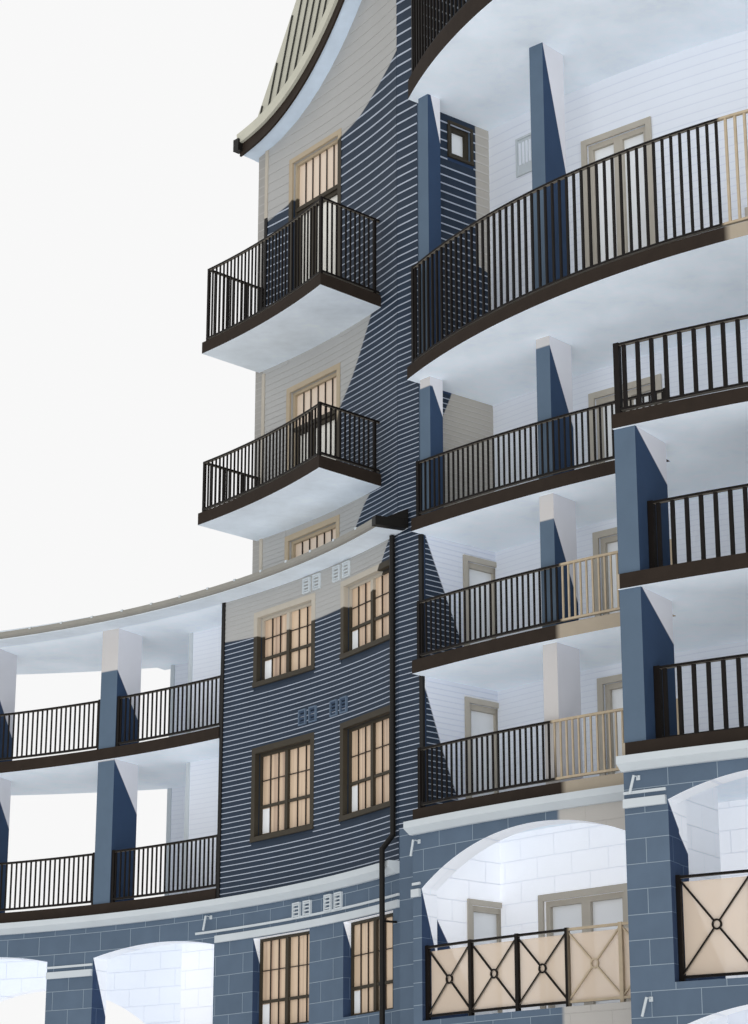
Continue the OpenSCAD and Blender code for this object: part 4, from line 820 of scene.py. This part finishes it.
def opening_hole(a, w, z0, z1, margin):
    """Where an opening and its casing part the boards."""
    half = math.degrees((w / 2 + margin - 0.02) / WING_R)
    return (a - half, a + half, z0 - margin, z1 + margin)


LEFT_END = WING_C + WING_R * heading(TOWER_A1)
SWEEP_ALONG = heading((WING_A0 + TOWER_A1) / 2 + 90)
SWEEP_RUN = (LEFT_END - CORNER).length


def rake_z(a, r=WING_R):
    """Height of the tower's sweeping soffit over a point of the front."""
    u = -(WING_C + r * heading(a) - LEFT_END).dot(SWEEP_ALONG) / SWEEP_RUN
    if u < 0:
        rise = EAVE_START * u
    elif u < 1:
        rise = EAVE_START * u + (1 - EAVE_START) * u * u
    else:
        rise = 1 + (2 - EAVE_START) * (u - 1)
    return TOWER_EAVE_Z + EAVE_RISE * rise


wing_boards = (board_finish("boards_wing", wing_shade), lap_shadow_finish("lap_shadow_wing", wing_shade))
tower_boards = (board_finish("boards_tower", tower_shade),
                lap_shadow_finish("lap_shadow_tower", tower_shade))
return_boards = (board_finish("boards_return"), lap_shadow_finish("lap_shadow_return"))
flank_boards = (board_finish("boards_flank", flank_shade, flank_shade_tone),
                lap_shadow_finish("lap_shadow_flank", flank_shade,
                            lambda f: flank_shade_tone(f, (0.72, 0.77, 0.88), (0.58, 0.56, 0.52))))

dress(wing_boards[0], "wing_wall")
dress(tower_boards[0], "tower_wall")

SIDING_FOOT_Z = WING_EAVE_Z + WING_ROOF_T
lap_wall("siding_wing", on_wing, WING_A0 + 0.01, SIDING_A1 - 0.1, WING_FLOOR_2 - DECK_T + 0.02,
         WING_EAVE_Z - 0.01,
         [opening_hole(a, WINDOW_W, *z, CASING) for a in WINDOW_A
          for z in (LOWER_WINDOW, UPPER_WINDOW)], 0.8, wing_boards)
lap_wall("siding_tower", on_wing, WING_A0 + 0.01, TOWER_A1, SIDING_FOOT_Z,
         TOWER_EAVE_Z + EAVE_RISE + 0.05,
         [opening_hole(TOWER_DOOR_A, TOWER_DOOR_W, z0, z1, CASING) for z0, z1 in
          zip((LOW_LIGHT_Z, *(z - DECK_T - 0.01 for z in TOWER_DECKS)), TOWER_HEADS)],
         0.6, tower_boards, rake_z)


def flank_hole(x, w, z0, z1, margin, sill=0.0):
    return (x - w / 2 - margin, x + w / 2 + margin, z0 - sill, z1 + margin)


flank_line = Line(FLANK, heading(INWARD_A), -heading(INWARD_A + 90))
lap_wall("siding_flank", flank_line.p, 0.06, LOGGIA_DEPTH - 0.05, LOGGIA_DECKS[0] + DECK_T + 0.01,
         LOGGIA_TOP_Z - 0.01,
         [(-0.5, 3.0, LOGGIA_DECKS[i] - 0.01, deck_top(i) + 0.01) for i in range(1, 5)]
         + [flank_hole(FLANK_DOOR_X, FLANK_DOOR_W, z, z + GLAZED_H, 0.12)
            for z in FLANK_DOOR_FLOORS]
         + [flank_hole(FLANK_WINDOW_X, FLANK_WINDOW_W, *FLANK_WINDOW_Z, 0.08, 0.08)],
         3.0, flank_boards)
return_line = Line(CORNER, -heading(INWARD_A + 90), -heading(INWARD_A))
lap_wall("siding_return", return_line.p, 0.005, SIDE_LINE - 0.08, LOGGIA_DECKS[0] + 0.02,
         LOGGIA_TOP_Z - 0.01, [], 1.0, return_boards)

# Corner boards. The tower's is dark between two heights, and painted pale below and above as painted
# shade

CORNER_Z = (SIDING_FOOT_Z, 21.1, 21.9, 25.0, TOWER_EAVE_Z)
tower_corner = wing_spot(TOWER_A1 - 0.03), (-0.04, 0.06), (0, 0.035)
corner_boards = Piece("corner_boards", black_metal)
corner_boards.box(wing_spot(SIDING_A1 - 0.14), (-0.05, 0.05), (0, 0.04),
                  (WING_FLOOR_2 - DECK_T, WING_EAVE_Z))
corner_boards.box(return_line, (SIDE_LINE - 0.09, SIDE_LINE + 0.02), (-0.02, 0.04),
                  (LOGGIA_DECKS[0], LOGGIA_DECKS[2]))
corner_boards.box(*tower_corner, CORNER_Z[2:4])
corner_boards.done(0.004)
corner_shade = Piece("corner_boards_shade", trim_tower)
for z in (CORNER_Z[:2], CORNER_Z[3:]):
    corner_shade.box(*tower_corner, z)
corner_shade.done(0.004)


# Windows


def casing(piece, spot, w, z, out=(0.0, CASING_OUT), width=CASING, sill=True):
    """A flat frame round an opening."""
    for u in ((-w / 2 - width, -w / 2), (w / 2, w / 2 + width)):
        piece.box(spot, u, out, z)
    full = (-w / 2 - width, w / 2 + width)
    piece.box(spot, full, out, (z[1], z[1] + width))
    if sill:
        piece.box(spot, full, (out[0], out[1] + 0.02), (z[0] - width * 0.8, z[0]))


def sash(piece, spot, u, z, out, bar, m=0):
    """A sash's four rails between u[0]..u[1] and z[0]..z[1]."""
    piece.box(spot, (u[0], u[0] + bar), out, z, m)
    piece.box(spot, (u[1] - bar, u[1]), out, z, m)
    piece.box(spot, (u[0] + bar, u[1] - bar), out, (z[0], z[0] + bar), m)
    piece.box(spot, (u[0] + bar, u[1] - bar), out, (z[1] - bar, z[1]), m)


def bars(piece, spot, u, z, out, columns, rows, w, m):
    """Glazing bars that part a pane into columns and rows."""
    for i in range(1, columns):
        at = u[0] + (u[1] - u[0]) * i / columns
        piece.box(spot, (at - w / 2, at + w / 2), out, z, m)
    for i in range(1, rows):
        at = z[0] + (z[1] - z[0]) * i / rows
        piece.box(spot, u, out, (at - w / 2, at + w / 2), m)


def twin_window(name, a, z, wall_t, trim, with_casing, low_share):
    """Two sashes side by side, each a tall upper light over a low one, with glazing bars."""
    spot = wing_spot(a)
    glass = -wall_t / 2 + PANE_OUT
    front, bar_out = glass + 0.05, (glass, glass + 0.03)
    middle, edge, rail, bar_w, gap = 0.05, 0.06, 0.03, 0.016, 0.02
    half = WINDOW_W / 2
    piece = Piece(name, trim, bar_metal, white_pane)
    if with_casing:
        casing(piece, spot, WINDOW_W, z)
        casing(piece, spot, WINDOW_W - 0.01, (z[0] + 0.005, z[1] - 0.005), (-0.06, 0.03), 0.02,
               sill=False)
    mid_z = z[0] + (z[1] - z[0]) * low_share
    sash(piece, spot, (-half, half), z, (glass - 0.02, front), edge)
    piece.box(spot, (-middle, middle), (glass, front + 0.02), (z[0] + edge, z[1] - edge))
    for u in ((-half + edge, -middle), (middle, half - edge)):
        piece.box(spot, u, (glass, front), (mid_z - rail, mid_z + rail))
        bars(piece, spot, u, (mid_z + rail, z[1] - edge), bar_out, 3, 2, bar_w, 1)
        bars(piece, spot, u, (z[0] + edge, mid_z - rail), bar_out, 3, 1, bar_w, 1)
    left = -half + edge + gap
    third = (half - edge - middle) / 3
    piece.box(spot, (left, left + third - 2 * gap), (glass - 0.004, glass + 0.012),
              (z[0] + edge + gap, mid_z - rail - gap), 2)
    piece.done(0.003)


for a, side in zip(WINDOW_A, ("right", "left")):
    for storey, z in (("lower", LOWER_WINDOW), ("upper", UPPER_WINDOW)):
        twin_window(f"window_{storey}_{side}", a, z, WALL_T, trim_dark, True, 0.36)
    for storey, z in (("podium", PODIUM_WINDOW), ("ground", GROUND_WINDOW)):
        twin_window(f"window_{storey}_{side}", a, z, BLOCK_T, trim_olive, False, 0.3)


def tower_opening(name, z, transom_z=None):
    """A glazed door with a curtained light over its transom, or that light alone."""
    spot = wing_spot(TOWER_DOOR_A)
    glass = -WALL_T / 2 + PANE_OUT
    half, edge, rail, stile, meeting = TOWER_DOOR_W / 2, 0.07, 0.05, 0.09, -0.25
    piece = Piece(name, trim_zone, trim_olive, light_pane, bar_metal)
    casing(piece, spot, TOWER_DOOR_W, z, sill=not transom_z)
    sash(piece, spot, (-half, half), z, (glass - 0.02, glass + 0.09), edge)
    inside = (-half + edge, half - edge)
    light = ((transom_z or z[0]) + rail, z[1] - edge)
    piece.box(spot, inside, (glass, glass + 0.02), light, 2)
    bars(piece, spot, inside, light, (glass, glass + 0.05), 6, 1, 0.02, 3)
    if transom_z:
        piece.box(spot, (-half, half), (glass, glass + 0.1), (transom_z - rail, transom_z + rail),
                  1)
        for u in ((inside[0], meeting), (meeting, inside[1])):
            sash(piece, spot, u, (z[0], transom_z - rail), (glass, glass + 0.06), stile, 1)
    piece.done(0.004)


tower_opening("tower_light", (LOW_LIGHT_Z, TOWER_HEADS[0]))
tower_opening("tower_door_lower", (TOWER_DECKS[0], TOWER_HEADS[1]), 19.45)
tower_opening("tower_door_upper", (TOWER_DECKS[1], TOWER_HEADS[2]), 24.85)


def glazed_door(piece, spot, w, z, width=CASING, leaves=1, sill=False):
    """A casing, and a leaf's frame round each pane."""
    casing(piece, spot, w, z, (0, 0.04), width, sill=sill)
    for k in range(leaves):
        u = (-w / 2 + w * k / leaves, -w / 2 + w * (k + 1) / leaves)
        sash(piece, spot, u, z, (-0.13, -0.05), 0.11)


def on_loggias(a):
    return Spot(LOGGIA_C, LOGGIA_R - LOGGIA_DEPTH, a, 1)


for i, z in enumerate(LOGGIA_FLOORS):
    piece = Piece(f"loggia_frames_{i}", trim_tower)
    a, w = (WIDE_GLAZED_A, WIDE_GLAZED_W) if i in WIDE_GLAZED_STOREYS else (GLAZED_A, GLAZED_W)
    height = HIGH_GLAZED_H if i == HIGH_GLAZED_STOREY else GLAZED_H
    glazed_door(piece, on_loggias(a), w, (z, z + height), leaves=2)
    glazed_door(piece, on_loggias(BAY_DOOR_A), DOOR_W, (z, z + DOOR_H))
    glazed_door(piece, on_loggias(BAY_WINDOW_A), LOGGIA_WINDOW_W, (z + LOGGIA_SILL, z + DOOR_H),
                leaves=2, sill=True)
    piece.done(0.004)


def flank_spot(x):
    return Line(FLANK + heading(INWARD_A) * x, heading(INWARD_A), -heading(INWARD_A + 90))


flank_frames = Piece("flank_frames", trim_tower)
for z in FLANK_DOOR_FLOORS:
    glazed_door(flank_frames, flank_spot(FLANK_DOOR_X), FLANK_DOOR_W, (z, z + GLAZED_H), 0.11)
flank_frames.done(0.004)
flank_window = Piece("flank_window_frame", trim_olive)
glazed_door(flank_window, flank_spot(FLANK_WINDOW_X), FLANK_WINDOW_W, FLANK_WINDOW_Z, 0.07,
            sill=True)
flank_window.done(0.004)

LOUVRE_A, LOUVRE_Z, LOUVRE_SLATS, SLAT_U, SLAT_STEP = 222.9, 23.95, 4, (-0.18, -0.13), 0.1
louvre = Piece("louvre", trim_white, white_plain)
spot = on_loggias(LOUVRE_A)
sash(louvre, spot, (-0.27, 0.27), (LOUVRE_Z, LOUVRE_Z + 0.9), (0, 0.04), 0.05)
louvre.box(spot, (-0.23, 0.23), (0, 0.015), (LOUVRE_Z + 0.05, LOUVRE_Z + 0.85))
for k in range(LOUVRE_SLATS):
    louvre.box(spot, [u + SLAT_STEP * k for u in SLAT_U], (0, 0.035),
               (LOUVRE_Z + 0.25, LOUVRE_Z + 0.77), 1)
louvre.done(0.003)

gallery_boards = Piece("gallery_corner_boards", trim_white)
for z in ((WING_FLOOR_2, WING_FLOOR_3 - DECK_T), (WING_FLOOR_3, WING_EAVE_Z)):
    for depth, a in ((SHALLOW_DEPTH, STEP_A), (GALLERY_DEPTH, ROOMS_A1)):
        gallery_boards.box(wing_spot(a - 0.15, -depth), (-0.06, 0.06), (-0.01, 0.025), z)
gallery_boards.done(0.003)


def rail_infill(name, r, a, half, top_z):
    """A thin tinted sheet fixed behind the posts of a railing in an arch."""
    piece = Piece(name, panel)
    foot_z = LOGGIA_FLOORS[1] + 0.12
    stations = [a + half * k / 10 for k in range(-10, 11)]
    piece.sweep([[Spot(LOGGIA_C, r, at, 1).p(0, out, zz) for out, zz in
                  ((0, foot_z), (0.008, foot_z), (0.008, top_z), (0, top_z))] for at in stations])
    piece.done()


rail_infill("infill_loggia", LOGGIA_R - 0.16, GREAT_ARCH[0], 6.55, 7.3)
rail_infill("infill_bay", LOGGIA_R + BAY_OUT - 0.26, BAY_ARCH[0], 4.05, 7.65)

# Roof seams and eave boards

ROOF_OUT, EAVE_T, HIP_TILT, BATTER, EAVE_END_A = 0.42, 0.26, 13.0, 1.3, TOWER_A1 + 1.2
LOGGIA_SEAMS, TOWER_SEAMS, TOWER_SEAM_STEP, SEAM_PARTS = 45, 20, 0.75, 50
FASCIA_SECTION = ((0.43, -0.06), (0.48, -0.06), (0.48, 0.23), (0.43, 0.23))
GUTTER_SECTION = ((0.43, 0.23), (0.56, 0.23), (0.59, 0.47), (0.56, 0.47), (0.53, 0.28), (0.43, 0.28))
GUTTER_END = ((-0.56, -0.02), (0.15, -0.02), (0.15, 0.17), (-0.56, 0.17))
HANGERS, HANGER_STEP = 18, 2.65


def seam(piece, a, sign, p, q, w=0.025, h=0.04):
    """A standing seam from p to q, square to a roof that looks towards sign times heading a."""
    away = heading(a)
    side = Vector((-away.y, away.x, 0))
    up = side.cross(q - p).normalized()
    if up.xy.dot(away) * sign < 0:
        up = -up
    piece.sweep([[e - side * w / 2 - up * 0.01, e + side * w / 2 - up * 0.01,
                  e + side * w / 2 + up * h, e - side * w / 2 + up * h] for e in (p, q)])


seams = Piece("roof_seams_loggia", seam_metal)
r_eave = LOGGIA_R + 0.9
for k in range(LOGGIA_SEAMS + 1):
    a = LOGGIA_A0 + 0.3 + k * (PARTY_A - LOGGIA_A0 - 0.5) / LOGGIA_SEAMS
    seam(seams, a, 1, Spot(LOGGIA_C, r_eave, a, 1).p(0, 0, LOGGIA_TOP_Z + 0.3),
         Spot(LOGGIA_C, r_eave - BATTER, a, 1).p(0, 0, ROOF_TOP_Z))
seams.done()

seams = Piece("roof_seams_tower", seam_metal)
for k in range(TOWER_SEAMS):
    a = WING_A0 + 0.5 + k * TOWER_SEAM_STEP
    foot = wing_spot(a, ROOF_OUT).p(0, 0, TOWER_EAVE_Z - 0.5)
    top = wing_spot(a, ROOF_OUT - BATTER).p(0, 0, ROOF_TOP_Z)
    hip_z = TOWER_EAVE_Z + math.radians(TOWER_A1 + 1.1 - a) * WING_R / math.tan(
        math.radians(HIP_TILT)) - 0.3
    shown = [foot.lerp(top, t) for t in (i / SEAM_PARTS for i in range(SEAM_PARTS + 1))
             if rake_z(a, WING_R - ROOF_OUT + BATTER * t) + EAVE_T + 0.12
             < foot.lerp(top, t).z < hip_z]
    if len(shown) > 3:
        seam(seams, a, -1, shown[0], shown[-1])
seams.done()

eave = Piece("tower_eave_boards", fascia_board, gutter_pale, black_metal)
stations = [WING_A0 + 0.05 + (TOWER_A1 + 1.15 - WING_A0) * i / 40 for i in range(41)]
for section, m in ((FASCIA_SECTION, 0), (GUTTER_SECTION, 1)):
    eave.sweep([[on_wing(a, out, rake_z(a, WING_R - 0.45) + dz) for out, dz in section]
                for a in stations], [m] * len(section))
end_z = rake_z(EAVE_END_A, WING_R - 0.5)
eave.box(wing_spot(EAVE_END_A, 0.5), (-0.08, 0.1), (-0.06, 0.12), (end_z + 0.04, end_z + 0.34), 2)
eave.done()

hangers = Piece("gutter_hangers", trim_white)
for k in range(HANGERS):
    hangers.box(wing_spot(WING_A0 + 1.4 + HANGER_STEP * k, WING_EAVE_OUT), (-0.03, 0.03),
                (0, 0.145), (WING_EAVE_Z + 0.12, WING_EAVE_Z + 0.17))
hangers.done(0.004)
black_corner = Piece("gutter_corner", black_metal)
black_corner.sweep([[on_wing(WING_A0 - da, WING_EAVE_OUT + out, WING_EAVE_Z + dz)
                     for out, dz in GUTTER_END] for da in (1.24, 1.0, 0.75)])
black_corner.done(0.004)

# Vents and lamps

VENT_U, VENT_HALF, VENT_H, VENT_EDGE, VENT_SLATS, VENT_STEP = (-0.19, 0.19), 0.13, 0.34, 0.03, 4, 0.075
# The last radius is that of the slanting pale tube that stands for each lamp's painted shadow
LAMP_OUT, LAMP_ARM_R, LAMP_SHADOW_R = 0.16, 0.012, 0.024


def vent_pair(piece, a, z, frame_m=0):
    """Two vents side by side, each a frame with slats."""
    spot, inner = wing_spot(a), VENT_HALF - VENT_EDGE
    for u in VENT_U:
        sash(piece, spot, (u - VENT_HALF, u + VENT_HALF), (z, z + VENT_H), (0, 0.06), VENT_EDGE,
             frame_m)
        for k in range(VENT_SLATS):
            low = z + 0.05 + k * VENT_STEP
            piece.box(spot, (u - inner, u + inner), (0.0, 0.045), (low, low + 0.03))


vents = Piece("wall_vents", trim_white)
for a, z in ((36.7, 15.5), (33.6, 15.5), (37.4, 8.5), (34.3, 8.53)):
    vent_pair(vents, a, z)
vents.done(0.003)
vents = Piece("wing_vents", vent_blue, vent_line)
for a, z in ((37.0, 12.6), (33.8, 12.58)):
    vent_pair(vents, a, z, 1)
vents.done(0.003)

lamps = Piece("wall_lamps", trim_white)
for spot, z in ((wing_spot(45.9), 8.84),
                *((Spot(LOGGIA_C, LOGGIA_R + out, a, 1), z) for out, a, z in
                  ((0, 220.45, 9.4), (BAY_OUT, 235.3, 9.42), (BAY_OUT, 235.5, 5.75)))):
    lamps.box(spot, (-0.035, 0.035), (0, 0.02), (z - 0.04, z + 0.04))
    lamps.tube([spot.p(0, 0.01, z), spot.p(0, 0.1, z + 0.015), spot.p(0, LAMP_OUT, z)], LAMP_ARM_R)
    # Painted shadow: a slanting pale tube hanging from the arm's end stands for the lamp's cast shadow
    # on the wall
    lamps.tube([spot.p(0, LAMP_OUT, z + 0.02), spot.p(-0.11, 0.13, z - 0.28)], LAMP_SHADOW_R)
lamps.done(0.003)

# Floor, light and backdrop

SUN_SPREAD, SKY, BACKDROP, FLOOR_HALF, FLOOR_Z = 60, 0.62, 0.94, 300, -0.002
floor = bpy.data.meshes.new("floor")
floor.from_pydata([(x * FLOOR_HALF, y * FLOOR_HALF, FLOOR_Z)
                   for x, y in ((-1, -1), (1, -1), (1, 1), (-1, 1))], [], [(0, 1, 2, 3)])
floor = bpy.data.objects.new("floor", floor)
bpy.context.scene.collection.objects.link(floor)
floor_finish = Finish("floor", rough=0.9)
floor.data.materials.append(floor_finish.colour((0.88, 0.88, 0.88)).material)
floor.visible_shadow = False

world = bpy.data.worlds.new("studio")
bpy.context.scene.world = world
world.use_nodes = True
tree = world.node_tree
tree.nodes.clear()


def world_node(kind, *sources):
    node = tree.nodes.new(kind)
    for source, socket in zip(sources, node.inputs):
        tree.links.new(source, socket)
    return node


def brighter(a, b):
    node = world_node("ShaderNodeMath", a, b)
    node.operation = "MAXIMUM"
    return node.outputs[0]


path = world_node("ShaderNodeLightPath").outputs
seen = brighter(path["Is Camera Ray"], brighter(path["Is Glossy Ray"], path["Is Transmission Ray"]))
light, back = (world_node("ShaderNodeBackground") for _ in range(2))
light.inputs["Color"].default_value = (1, 1, 1, 1)
light.inputs["Strength"].default_value = SKY
back.inputs["Color"].default_value = (BACKDROP, BACKDROP, BACKDROP, 1)
blend = world_node("ShaderNodeMixShader", seen, light.outputs[0], back.outputs[0])
world_node("ShaderNodeOutputWorld", blend.outputs[0])


def sun(name, rotation, strength):
    lamp = bpy.data.lights.new(name, "SUN")
    lamp.energy, lamp.angle = strength, math.radians(SUN_SPREAD)
    obj = bpy.data.objects.new(name, lamp)
    obj.rotation_euler = [math.radians(v) for v in rotation]
    bpy.context.scene.collection.objects.link(obj)


sun("front_light", (112, 0, -4), 1.25)
sun("left_light", (62, 0, -70), 0.2)
sun("back_light", (60, 0, 150), 0.5)
sun("low_light", (180, 0, 0), 0.68)

scene = bpy.context.scene
scene.view_settings.view_transform = "Standard"
